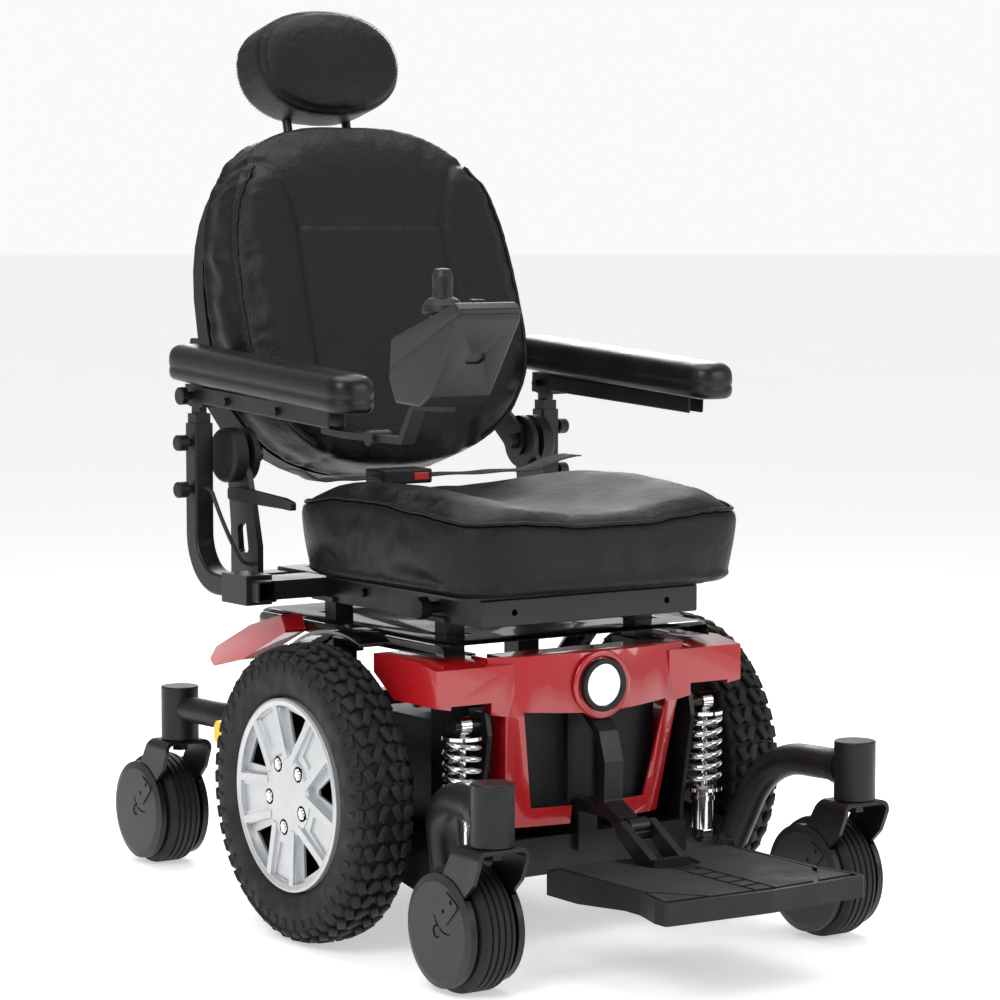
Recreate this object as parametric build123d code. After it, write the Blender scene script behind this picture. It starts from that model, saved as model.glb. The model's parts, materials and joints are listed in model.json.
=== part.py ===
from build123d import *
from math import copysign, cos, radians, sin, tan
import os

# Mid-wheel-drive power wheelchair.  Front of the chair is -Y, the user's right is -X, up is +Z.
# Every sub-part is drawn with y = 0 at the drive axle and z = 0 on the floor; export() then moves
# all of them together so that the origin lies under the middle of the whole chair.

# ------------------------------------------------------------------ driving sizes (mm)
wheel_radius = 178.0          # 14 in drive tyre
wheel_width = 76.0
wheel_x = 268.0               # centre plane of a drive wheel
rim_radius = 115.0
axle_radius = 12.0

caster_radius = 72.0          # 6 in nominal caster
caster_width = 46.0
caster_trail = 52.0
caster_axle_radius = 6.0
front_barrel_x = 258.0
front_barrel_y = -365.0
rear_barrel_x = 180.0
rear_barrel_y = 480.0
barrel_radius = 24.5
barrel_bottom = 172.0
barrel_height = 69.0
stem_radius = 12.0
fork_plate = 5.0
fork_half_width = 34.0
fork_crown_gap = 1.5
cover_radius = 64.0
cover_thickness = 4.0

rail_x = 137.0                # chassis side rails
rail_width = 30.0
rail_bottom = 85.0
rail_top = 130.0
chassis_front = -178.0
chassis_rear = 300.0
post_size = 32.0              # square towers that carry the seat
post_front_y = -98.0
post_rear_y = 150.0
tower_top = 345.0

arm_pivot_y = -40.0           # front suspension arm
arm_pivot_z = 118.0
arm_tube_radius = 19.0
arm_bar_inner = 188.0
arm_bar_width = 28.0
shock_x = 175.0
shock_y = -181.0
shock_top_z = 272.0
shock_bottom_z = 112.0
shock_pin_radius = 6.0
shock_eye_gap = 1.4           # lets the lower pin follow its arc
spring_top = 257.0
spring_bottom = 168.0
spring_radius = 20.0
spring_wire = 3.6
spring_turns = 6.0

rear_pivot_y = 345.0          # rocker beam of the rear casters
rear_pivot_z = 212.0
rear_pin_radius = 12.0
rear_tube_radius = 17.0

battery_width = 112.0
battery_length = 190.0
battery_height = 165.0

shroud_wall = 3.0
platform_half_width = 127.0   # foot platform
platform_front_half_width = 140.0
platform_front = -531.0
platform_rear = -282.0
platform_top = 116.0
platform_plate = 5.0
platform_pivot_y = -280.0
platform_pivot_z = 152.0
mat_thickness = 4.0
strap_width = 27.0

seat_frame_x = 156.0
seat_frame_front = -193.0
seat_frame_rear = 268.0
seat_rail_bottom = 384.0
seat_rail_height = 32.0
seat_rail_width = 25.0
seat_pan_thickness = 3.0
front_hole_x = 110.0
front_hole_radius = 4.0

cushion_half_width = 214.0
cushion_front = -250.0
cushion_rear = 165.0
cushion_height = 104.0

back_lean = 14.6              # degrees from upright
back_foot_y = 198.0
back_foot_z = 535.0
back_length = 466.0
back_half_width = 217.0
back_waist = 205.0            # level of the widest part, above the foot of the back
back_foot_gap = 4.0
back_squareness = 2.45
back_outline_steps = 48
back_pad_thickness = 95.0
back_shell_thickness = 26.0

recline_y = 255.0
recline_z = 560.0
recline_pin_radius = 10.0
recline_cap_radius = 34.0
recline_plate_x = 214.0
recline_plate = 8.0
recline_hinge_x = 199.5       # inner face of the moving hinge plate

headrest_half_width = 105.0
headrest_half_height = 69.0
headrest_depth = 80.0
headrest_centre = 551.0       # along the back, from its foot
headrest_rear_offset = 88.0   # behind the front face of the back
headrest_bar_radius = 6.0
headrest_bar_x = 45.0

arm_x = 262.0                 # centre plane of an armrest
sleeve_size = 26.0
sleeve_wall = 2.6
sleeve_y = 275.0
sleeve_bottom = 405.0
sleeve_top = 600.0
sleeve_bend = 60.0
sleeve_front = 110.0
arm_fit = 0.1                 # gap on each side of the sliding post
arm_hinge_y = 275.0
arm_hinge_z = 634.0
arm_pin_radius = 5.0
arm_tilt = 2.7
pad_length = 416.0
pad_width = 62.0
pad_height = 46.0
pad_rear = 316.0

stick_y = -274.0              # joystick
stick_pin_radius = 3.0
stick_pivot_z = 722.0
controller_half_width = 41.0
button_x = 20.0
button_y = -318.0
dial_y = -342.0

running_fit = 0.05            # radial gap of a turning fit
small_gap = 0.4               # air between neighbouring pieces


# ------------------------------------------------------------------ building blocks
def block(x0, x1, y0, y1, z0, z1, edge=0.0):
    """A box between two corners, with its edges rounded if asked."""
    solid = Pos((x0 + x1) / 2, (y0 + y1) / 2, (z0 + z1) / 2) * Box(x1 - x0, y1 - y0, z1 - z0)
    return fillet(solid.edges(), edge) if edge else solid


def rod(axis, centre, radius, start, end):
    """A cylinder along x, y or z; centre holds its two other coordinates."""
    turn = {"x": Rot(0, 90, 0), "y": Rot(90, 0, 0), "z": Rot(0, 0, 0)}[axis]
    middle = (start + end) / 2
    place = {"x": (middle, *centre), "y": (centre[0], middle, centre[1]), "z": (*centre, middle)}[axis]
    return Pos(*place) * turn * Cylinder(radius, abs(end - start))


def side_slab(points, x0, x1, corner=0.0):
    """A plate with a side-view outline (y, z), between two x values."""
    outline = make_face(Polyline(*points, close=True))
    if corner:
        outline = fillet(outline.vertices(), corner)
    return extrude(Plane.YZ.offset(min(x0, x1)) * outline, amount=abs(x1 - x0), dir=(1, 0, 0))


def front_slab(points, y0, y1, corner=0.0):
    """A plate with a front-view outline (x, z), between two y values."""
    outline = make_face(Polyline(*points, close=True))
    if corner:
        outline = fillet(outline.vertices(), corner)
    return extrude(Plane.XZ.offset(-min(y0, y1)) * outline, amount=abs(y1 - y0), dir=(0, 1, 0))


def top_slab(points, z0, z1, corner=0.0):
    """A plate with a plan outline (x, y), between two heights."""
    outline = make_face(Polyline(*points, close=True))
    if corner:
        outline = fillet(outline.vertices(), corner)
    return extrude(Plane.XY.offset(min(z0, z1)) * outline, amount=abs(z1 - z0), dir=(0, 0, 1))


def pipe(points, bend, profile):
    """A profile carried along straight runs joined by round bends."""
    path = FilletPolyline(*points, radius=bend)
    start = Plane(origin=path @ 0, x_dir=(1, 0, 0) if abs((path % 0).X) < 0.9 else (0, 1, 0), z_dir=path % 0)
    return sweep(start * profile, path=path)


def spun(points, corner=0.0):
    """A ring about the X axis from a half section (x, radius)."""
    outline = make_face(Polyline(*points, close=True))
    if corner:
        outline = fillet(outline.vertices(), corner)
    return revolve(outline, axis=Axis.X)


def mirrored(shape):
    return mirror(shape, about=Plane.YZ)


def both(shape):
    return Compound(children=[*shape.solids(), *mirrored(shape).solids()])


def group(*shapes):
    """Separate solids kept side by side in one sub-part."""
    return Compound(children=[solid for shape in shapes for solid in shape.solids()])


# ------------------------------------------------------------------ drive wheels
def drive_tyre():
    half = wheel_width / 2
    r, b = wheel_radius, rim_radius
    section = [(-27, b), (-half + 3, b + 9), (-half, b + 30), (-half + 5, r - 9), (-half + 13, r - 1),
               (0, r), (half - 13, r - 1), (half - 5, r - 9), (half, b + 30), (half - 3, b + 9), (27, b)]
    return Pos(wheel_x, 0, wheel_radius) * spun(section, 2.5)


def wheel_arm_outline(inner, outer, inner_width, outer_width):
    return make_face(Polyline((-inner_width / 2, inner), (inner_width / 2, inner),
                              (outer_width / 2, outer), (-outer_width / 2, outer), close=True))


nut_circle = 39.0
nut_phase = 28.0              # first lug nut, from straight up towards the rear
spoke_count = 5
cover_back = 24.0             # wheel cover, from the wheel's centre plane outwards
cover_face = 35.0


def round_the_hub(shape):
    """Five copies about the X axis, the first one turned to the nut phase."""
    return [Rot(-nut_phase - 360 / spoke_count * k, 0, 0) * shape for k in range(spoke_count)]


def drive_rim():
    ring = spun([(-26, rim_radius - 12), (-26, rim_radius - 0.1), (20, rim_radius - 0.1), (20, rim_radius - 12)])
    web = spun([(-6, 20), (-6, rim_radius - 11), (4, rim_radius - 11), (4, 20)])
    hub = spun([(-36, axle_radius + running_fit), (-36, 26), (16, 26), (16, axle_radius + running_fit)])
    rim = ring + web + hub
    for stud in round_the_hub(rod("x", (0, nut_circle), 4, 3, 14)):
        rim += stud
    return rim - rod("x", (0, 0), axle_radius + running_fit, -60, 60)


def wheel_cover():
    edge = rim_radius - 0.6
    ring = spun([(cover_back, edge - 9), (cover_back, edge), (cover_face + 1, edge),
                 (cover_face + 2.4, edge - 3), (cover_face + 0.6, edge - 9)], 0.8)
    dish = spun([(cover_back, 12), (cover_back, edge - 6), (cover_back + 3, edge - 6), (cover_back + 3, 12)])
    hub = spun([(cover_back, 0.01), (cover_back, 50), (cover_face - 1.5, 50), (cover_face, 46),
                (cover_face, 0.01)])
    arm_face = Plane.YZ.offset(cover_back) * wheel_arm_outline(30, edge - 8, 46, 66)
    arm = extrude(arm_face, amount=cover_face - 2.5 - cover_back, dir=(1, 0, 0))
    rib_line = wheel_arm_outline(40, edge - 8, 9, 9)
    rib = extrude(Plane.YZ.offset(cover_back) * rib_line, amount=cover_face + 1 - cover_back, dir=(1, 0, 0))
    pocket_face = Plane.YZ.offset(cover_face - 5) * wheel_arm_outline(60, edge - 12, 20, 34)
    pocket = extrude(pocket_face, amount=20, dir=(1, 0, 0))
    ribs = [Rot(splay, 0, 0) * Pos(0, shift, 0) * rib for splay, shift in ((-5, 17), (5, -17))]
    spoke = arm - pocket + ribs[0] + ribs[1]
    cover = ring + dish + hub
    for copy in round_the_hub(spoke):
        cover += copy
    window = Plane.YZ.offset(0) * make_face(Polyline((-3, 62), (3, 62), (20, 98), (-20, 98), close=True))
    window = Rot(180 / spoke_count, 0, 0) * extrude(window, amount=60, dir=(1, 0, 0))
    for copy in round_the_hub(window):
        cover -= copy
    for well in round_the_hub(rod("x", (0, nut_circle), 9.5, cover_face - 8, cover_face + 5)):
        cover -= well
    return cover


def lug_nuts():
    nut = extrude(Plane.YZ.offset(cover_face - 7.6) * Pos(0, nut_circle) * RegularPolygon(7.6, 6),
                  amount=8, dir=(1, 0, 0))
    dome = rod("x", (0, nut_circle), 4.6, cover_face + 0.4, cover_face + 1.6)
    return [n + d for n, d in zip(round_the_hub(nut), round_the_hub(dome))]


def wheel_trim():
    """Wheel cover with its lug nuts, and the rim behind it."""
    pieces = group(wheel_cover(), drive_rim(), *lug_nuts())
    return Pos(wheel_x, 0, wheel_radius) * pieces


# ------------------------------------------------------------------ casters
def caster_wheel(x, y):
    half = caster_width / 2
    tread = caster_radius
    groove, depth = 1.6, 2.2
    section = [(-half + 2, 47), (-half, 56), (-half + 1, tread - 8), (-half + 5, tread - 1.2)]
    for g in (-12.5, -4.2, 4.2, 12.5):
        section += [(g - groove, tread), (g - groove * 0.6, tread - depth), (g + groove * 0.6, tread - depth),
                    (g + groove, tread)]
    section += [(half - 5, tread - 1.2), (half - 1, tread - 8), (half, 56), (half - 2, 47)]
    tyre = spun(section)
    bore = caster_axle_radius + running_fit
    hub = spun([(-half + 4, bore), (-half + 4, 46.9), (half - 4, 46.9), (half - 4, bore)])
    hub -= spun([(-half + 3, 16), (-half + 3, 40), (-5, 40), (-5, 16)])
    hub -= spun([(half - 3, 16), (half - 3, 40), (5, 40), (5, 16)])
    hub += spun([(-half - 4, bore), (-half - 4, 13), (half + 4, 13), (half + 4, bore)])
    return Pos(x, y + caster_trail, caster_radius) * group(tyre, hub)


def caster_fork(x, y):
    """Bent-plate fork with its stem, axle bolt and two side covers."""
    top = barrel_bottom - fork_crown_gap
    axle_z = caster_radius
    half, plate, trail = fork_half_width, fork_plate, caster_trail
    outer = block(-half, half, -40, 120, 20, top)
    outer = fillet(outer.edges().filter_by(Axis.Y).sort_by(Axis.Z)[-2:], 11)
    inner = block(-half + plate, half - plate, -41, 121, 10, top - plate)
    inner = fillet(inner.edges().filter_by(Axis.Y).sort_by(Axis.Z)[-2:], 6)
    side = side_slab([(-23, top + 1), (25, top + 1), (46, axle_z + 66), (trail + 15, axle_z + 14),
                      (trail + 11, axle_z - 10), (trail - 11, axle_z - 10), (22, axle_z + 28),
                      (-12, axle_z + 60), (-23, top - 14)], -60, 60, 5)
    plate_fork = (outer - inner) & side
    stem_top = barrel_bottom + barrel_height - 14
    stem = rod("z", (0, 0), stem_radius, top - plate - 1, stem_top)
    flange = rod("z", (0, 0), 19, top - 0.5, barrel_bottom - small_gap)
    bolt_head = extrude(Plane.XY.offset(top - plate - 9) * RegularPolygon(11, 6), amount=10)
    axle_hole = rod("x", (trail, axle_z), caster_axle_radius + running_fit, -80, 80)
    plate_fork = plate_fork + stem + flange + bolt_head - axle_hole
    axle_end = half + cover_thickness
    axle = rod("x", (trail, axle_z), caster_axle_radius, -axle_end, axle_end)
    cover = caster_cover(plate_fork, trail, axle_z)
    pieces = group(plate_fork, axle, cover, mirrored(cover))
    return Pos(x, y, 0) * pieces


def caster_cover(fork, trail, axle_z):
    """Dished plastic disc over one side of the wheel, screwed to the fork leg."""
    inside = fork_half_width + small_gap
    outside = inside + cover_thickness
    disc = spun([(inside - 7, cover_radius - 3), (inside - 7, cover_radius), (outside - 3, cover_radius),
                 (outside, cover_radius - 9), (outside + 0.6, 22), (outside + 0.6, 0.01), (inside, 0.01),
                 (inside, cover_radius - 6)])
    disc = Pos(0, trail, axle_z) * disc
    pad = side_slab([(8, axle_z + 34), (34, axle_z + 48), (54, axle_z + 26), (34, axle_z + 8)],
                    outside - 0.5, outside + 1.8, 4)
    pad &= Pos(0, trail, axle_z) * rod("x", (0, 0), cover_radius - 6, outside - 1, outside + 4)
    disc += pad
    arc = rod("x", (32, axle_z + 26), 27, outside - 1.2, outside + 3)
    arc -= rod("x", (32, axle_z + 26), 24.6, outside - 2, outside + 4)
    arc &= side_slab([(20, axle_z - 10), (60, axle_z - 10), (62, axle_z + 20), (30, axle_z + 8)], outside - 2,
                     outside + 4)
    disc -= arc
    for y, z in ((22, axle_z + 37), (37, axle_z + 25)):
        disc -= rod("x", (y, z), 2.6, outside, outside + 4)
    disc -= rod("x", (trail, axle_z), caster_axle_radius + 1.5, inside - 1, outside + 4)
    leg_room = side_slab([(-26, axle_z + 110), (30, axle_z + 110), (49, axle_z + 68), (trail + 18, axle_z + 14),
                          (trail + 14, axle_z - 13), (trail - 14, axle_z - 13), (19, axle_z + 27),
                          (-16, axle_z + 58)], 10, inside)
    return disc - leg_room


def barrel(x, y):
    """Caster barrel: a bored steel tube, with its plastic cap as a second solid."""
    top = barrel_bottom + barrel_height
    tube = rod("z", (x, y), barrel_radius, barrel_bottom, top - 4)
    bore = rod("z", (x, y), stem_radius + running_fit, barrel_bottom - 1, top - 12)
    socket = rod("z", (x, y), 19, top - 13, top + 1)
    cap = rod("z", (x, y), barrel_radius, top - 4, top)
    cap = fillet(cap.edges().sort_by(Axis.Z)[-1], 2)
    cap += rod("z", (x, y), 18.8, top - 10, top - 3.5)
    return tube, bore, socket, cap


# ------------------------------------------------------------------ front suspension
def front_arm():
    x, y = front_barrel_x, front_barrel_y
    tube, bore, socket, cap = barrel(x, y)
    knee = (x - 20, y + 137, barrel_bottom + 36)
    foot = (arm_bar_inner + arm_bar_width / 2 + 1, y + 170, rail_bottom + 5)
    curve = pipe([(x - 1, y + 8, barrel_bottom + 36), knee, foot], 78, Circle(arm_tube_radius))
    collar = rod("y", (x - 2, barrel_bottom + 36), arm_tube_radius + 3, y + 16, y + 28)
    bar = side_slab([(shock_y - 34, 74), (shock_y - 34, 108), (shock_y + 20, 126), (arm_pivot_y, arm_pivot_z + 20),
                     (arm_pivot_y + 20, arm_pivot_z), (arm_pivot_y, arm_pivot_z - 20), (shock_y + 10, 74)],
                    arm_bar_inner, arm_bar_inner + arm_bar_width, 8)
    pivot_boss = rod("x", (arm_pivot_y, arm_pivot_z), 19, arm_bar_inner - 22, arm_bar_inner + arm_bar_width)
    shock_pin = rod("x", (shock_y, shock_bottom_z), shock_pin_radius, shock_x - 12, arm_bar_inner + 2)
    pin_hole = rod("x", (arm_pivot_y, arm_pivot_z), 8 + running_fit, 100, arm_bar_inner + arm_bar_width - 4)
    arm = tube + collar + curve + bar + pivot_boss + shock_pin
    arm = arm - bore - socket - pin_hole
    return group(arm, cap)


def shock_body():
    eye = rod("x", (shock_y, shock_bottom_z), 12, shock_x - 7, shock_x + 7)
    body = rod("z", (shock_x, shock_y), 13, shock_bottom_z + 5, spring_bottom + 2)
    seat = rod("z", (shock_x, shock_y), spring_radius + 4, spring_bottom - 4, spring_bottom)
    ring = rod("z", (shock_x, shock_y), 15, spring_bottom - 16, spring_bottom - 10)
    body = body + eye + seat + ring
    body -= rod("x", (shock_y, shock_bottom_z), shock_pin_radius + shock_eye_gap, shock_x - 20, shock_x + 20)
    return body - rod("z", (shock_x, shock_y), 5 + running_fit, shock_bottom_z + 16, spring_bottom + 5)


def shock_rod():
    eye = rod("x", (shock_y, shock_top_z), 11, shock_x - 7, shock_x + 7)
    stem = rod("z", (shock_x, shock_y), 5, spring_bottom - 22, shock_top_z - 6)
    seat = rod("z", (shock_x, shock_y), spring_radius + 4, spring_top, spring_top + 4)
    stem = stem + eye + seat
    return stem - rod("x", (shock_y, shock_top_z), shock_pin_radius + running_fit, shock_x - 20, shock_x + 20)


def coil_spring():
    gap = 0.3
    height = spring_top - spring_bottom - 2 * spring_wire - 2 * gap
    path = Helix(pitch=height / spring_turns, height=height, radius=spring_radius)
    start = Plane(origin=path @ 0, z_dir=path % 0)
    wire = sweep(start * Circle(spring_wire), path=path, is_frenet=True)
    return Pos(shock_x, shock_y, spring_bottom + spring_wire + gap) * wire


# ------------------------------------------------------------------ rear caster beam
def rear_beam():
    x, y, z = rear_barrel_x, rear_barrel_y, rear_pivot_z
    hub = rod("y", (0, z), 28, rear_pivot_y - 22, rear_pivot_y + 30)
    beam = hub
    caps = []
    for side in (-1, 1):
        tube, bore, socket, cap = barrel(side * x, y)
        knee = (side * (x - 12), rear_pivot_y + 12, z)
        limb = pipe([(0, rear_pivot_y + 4, z), knee, (side * x, y - 6, z)], 45, Circle(rear_tube_radius))
        beam = beam + tube + limb - bore - socket
        caps.append(cap)
    beam -= rod("y", (0, z), rear_pin_radius + running_fit, rear_pivot_y - 60, rear_pivot_y + 20)
    return group(beam, *caps)


# ------------------------------------------------------------------ chassis
def chassis_frame():
    inner, outer = rail_x - rail_width / 2, rail_x + rail_width / 2
    frame = None
    for s in (-1, 1):
        xs = sorted((s * inner, s * outer))
        rail = block(*xs, chassis_front, chassis_rear, rail_bottom, rail_top)
        frame = rail if frame is None else frame + rail
        for y in (post_front_y, post_rear_y):
            half = post_size / 2
            tower = block(s * rail_x - half, s * rail_x + half, y - half, y + half, rail_bottom + 5, tower_top)
            hollow = half - 3
            tower -= block(s * rail_x - hollow, s * rail_x + hollow, y - hollow, y + hollow, 180, tower_top + 1)
            frame += tower
        pivot = rod("x", (arm_pivot_y, arm_pivot_z), 22, s * (outer - 6), s * (arm_bar_inner - 23))
        pin = rod("x", (arm_pivot_y, arm_pivot_z), 8, s * outer, s * (arm_bar_inner + arm_bar_width - 6))
        ear_x = sorted((s * (outer - 8), s * (outer - 2)))
        ear = side_slab([(shock_y - 16, shock_top_z - 12), (shock_y - 10, shock_top_z + 14),
                         (shock_y + 14, shock_top_z + 14), (post_front_y + 8, 200), (post_front_y + 8, 120),
                         (chassis_front + 2, 100), (chassis_front + 2, 150)], *ear_x)
        shock_pin = rod("x", (shock_y, shock_top_z), shock_pin_radius, s * (outer - 4), s * (shock_x + 12))
        frame = frame + pivot + pin + ear + shock_pin
    for y0, y1 in ((chassis_front, chassis_front + 25), (chassis_rear - 25, chassis_rear)):
        frame += block(-inner - 1, inner + 1, y0, y1, rail_bottom, rail_top)
    frame += block(-inner - 1, inner + 1, chassis_front + 5, chassis_rear - 5, rail_bottom, rail_bottom + 3)
    rear_tower = block(-34, 34, chassis_rear - 25, chassis_rear, rail_top - 4, rear_pivot_z + 32)
    rear_pin = rod("y", (0, rear_pivot_z), rear_pin_radius, chassis_rear - 4, rear_pivot_y + 16)
    return frame + rear_tower + rear_pin


def batteries():
    inner = 2.0
    y0 = post_front_y + post_size / 2 + 8
    z0 = rail_bottom + 3 + small_gap
    case = block(inner, inner + battery_width, y0, y0 + battery_length, z0, z0 + battery_height, 3)
    posts = [rod("z", (inner + battery_width / 2, y0 + dy), 6, z0 + battery_height - 1, z0 + battery_height + 8)
             for dy in (22, battery_length - 22)]
    return both(case + posts[0] + posts[1])


def power_module():
    z0 = rail_bottom + 3 + battery_height + 12
    y0 = post_front_y + post_size / 2 + 46
    case = block(-70, 70, y0, y0 + 100, z0, z0 + 38, 4)
    fins = [block(-62 + 12 * k, -58 + 12 * k, y0 + 8, y0 + 92, z0 + 37, z0 + 44) for k in range(11)]
    for fin in fins:
        case += fin
    return case


def drive_motor():
    z = wheel_radius
    gearbox = rod("x", (0, z), 46, rail_x + rail_width / 2 + 2, wheel_x - 44)
    motor = rod("y", (192, z), 32, 20, 168)
    shaft = rod("x", (0, z), axle_radius, wheel_x - 46, wheel_x + 14)
    boss = rod("x", (lever_pivot_y, z + 6), 9, 200, 216)
    boss += block(196, 212, 160, lever_pivot_y, z - 4, z + 12)
    boss += rod("x", (lever_pivot_y, z + 6), 4, 214, 226)
    return gearbox + motor + shaft + boss


lever_pivot_y = 184.0


def freewheel_lever():
    """Brake release lever with its yellow paddle, pivoted on the motor's end."""
    z = wheel_radius + 6
    hub = rod("x", (lever_pivot_y, z), 11, 217, 225)
    blade = side_slab([(lever_pivot_y, z - 8), (lever_pivot_y, z + 8), (262, z + 32), (262, z + 8)], 218, 224)
    paddle = side_slab([(250, z + 6), (250, z + 30), (300, z + 38), (306, z + 30), (306, z + 14), (298, z + 8)],
                       215, 227, 5)
    return hub + blade + paddle - rod("x", (lever_pivot_y, z), 4 + running_fit, 210, 230)


# ------------------------------------------------------------------ body covers
shroud_levels = (             # height, half width, front at the middle, how far the sides fall back
    (145.0, 110.0, -190.0, 16.0),
    (280.0, 124.0, -215.0, 20.0),
    (348.0, 142.0, -207.0, 24.0))
wing_x = 220.0


def plan_outline(height, half, front, fall, back):
    edges = [ThreePointArc((-half, front + fall), (0, front), (half, front + fall)),
             Line((half, front + fall), (half, back)), Line((half, back), (-half, back)),
             Line((-half, back), (-half, front + fall))]
    return Plane.XY.offset(height) * make_face(edges)


def shroud_volume(inset, back):
    sections = [plan_outline(z, half - inset, front + inset, fall, back) for z, half, front, fall in shroud_levels]
    return loft(sections, ruled=True)


def wing_volume(inset):
    side = side_slab([(-196 + inset, 262), (-196 + inset, 340 - inset), (-150, 347 - inset), (-62, 347 - inset),
                      (-62, 325), (-120, 288), (-140, 262)], 112, wing_x - inset)
    trim = front_slab([(100, 276), (wing_x + 5, 298), (wing_x + 5, 200), (100, 200)], -300, 0)
    return side - trim


def body_shroud():
    shell = shroud_volume(0, -150) - shroud_volume(shroud_wall, -140)
    shell += block(-120, 120, -190, -150, 346 - shroud_wall, 348) & shroud_volume(0, -150)
    z_low, z_high = 167.0, 284.0
    opening = front_slab([(-82, z_low), (82, z_low), (103, z_high), (0, z_high - 7), (-103, z_high)], -260, -140)
    opening += block(-28, 28, -260, -140, 130, z_low + 2)
    shell -= opening
    crown = rod("y", (0, 310), 36, -219, -200) & shroud_volume(-3.0, -150)
    badge_seat = rod("y", (0, 310), 31.5, -240, -213)
    shell = shell + (crown - shroud_volume(shroud_wall, -140)) - badge_seat
    for make in (lambda s: s, mirrored):
        wing = wing_volume(0) - (Pos(0, 0, -shroud_wall) * wing_volume(shroud_wall))
        wing -= shroud_volume(0, -30)
        shell += make(wing)
    for s in (-1, 1):
        half = post_size / 2 + 8
        shell -= block(s * rail_x - half, s * rail_x + half, post_front_y - half, post_front_y + half, 200, 400)
        shell -= rod("x", (shock_y, shock_top_z), 30, s * 144, s * 200)
    return shell.solids().sort_by(SortBy.VOLUME)[-1]


def front_panel():
    """Recessed black panel with a guide rib on each side of the strap."""
    panel = front_slab([(-98, 154), (98, 154), (108, 296), (-108, 296)], -172, -168, 4)
    for x in (-26, 22):
        panel += block(x, x + 4, -181, -171, 168, 280)
    return panel


def badge():
    """Plain oval medallion with a raised rim."""
    plate = rod("y", (0, 310), 30.5, -217.6, -213.2)
    ring = rod("y", (0, 310), 30.5, -220, -216) - rod("y", (0, 310), 25, -221, -215)
    return plate + ring


def top_cover():
    """Glossy lid over the batteries, with an arch over each drive wheel."""
    lid_z = 350.0
    half = 196.0
    lid = block(-half, half, -180, 262, lid_z, lid_z + 18)
    lid = fillet(lid.edges().filter_by(Axis.Z), 24)
    lid = fillet(lid.faces().sort_by(Axis.Z)[-1].edges(), 14)
    lid -= block(-half + 4, half - 4, -176, 258, lid_z - 1, lid_z + 14)
    rear = block(-half + 14, half - 14, 250, 262, 240, lid_z + 4)
    lid += rear
    arch_inner, arch_outer = wheel_radius + 8, wheel_radius + 12
    for s in (-1, 1):
        band = rod("x", (0, wheel_radius), arch_outer, s * (half - 6), s * (wheel_x - wheel_width / 2 + 8))
        band -= rod("x", (0, wheel_radius), arch_inner, s * (half - 20), s * (wheel_x + 60))
        keep = side_slab([(-60, 330), (-60, 420), (175, 420), (215, 262), (100, 262), (0, 300)], -400, 400)
        lid += band & keep
        for y in (post_front_y, post_rear_y):
            gap = post_size / 2 + 3
            lid -= block(s * rail_x - gap, s * rail_x + gap, y - gap, y + gap, lid_z - 20, lid_z + 40)
    return lid.solids().sort_by(SortBy.VOLUME)[-1]


def rear_fender():
    """Red fin behind the wheel arch."""
    fin = side_slab([(128, 352), (140, 372), (215, 352), (300, 316), (318, 298), (306, 290), (236, 306),
                     (180, 330)], 197, 226, 4)
    return fin - rod("x", (0, wheel_radius), wheel_radius + 13, 190, 240)


# ------------------------------------------------------------------ seat frame
def seat_posts():
    half = post_size / 2 - 3 - small_gap
    posts = [block(s * rail_x - half, s * rail_x + half, y - half, y + half, 230, seat_rail_bottom)
             for s in (-1, 1) for y in (post_front_y, post_rear_y)]
    clamps = []
    for s in (-1, 1):
        for y in (post_front_y, post_rear_y):
            inner, outer = post_size / 2, post_size / 2 + 6
            ring = block(s * rail_x - outer, s * rail_x + outer, y - outer, y + outer, tower_top - 24, tower_top)
            ring -= block(s * rail_x - inner - 0.1, s * rail_x + inner + 0.1, y - inner - 0.1, y + inner + 0.1,
                          tower_top - 30, tower_top + 1)
            clamps.append(ring)
    return group(*posts, *clamps)


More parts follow.
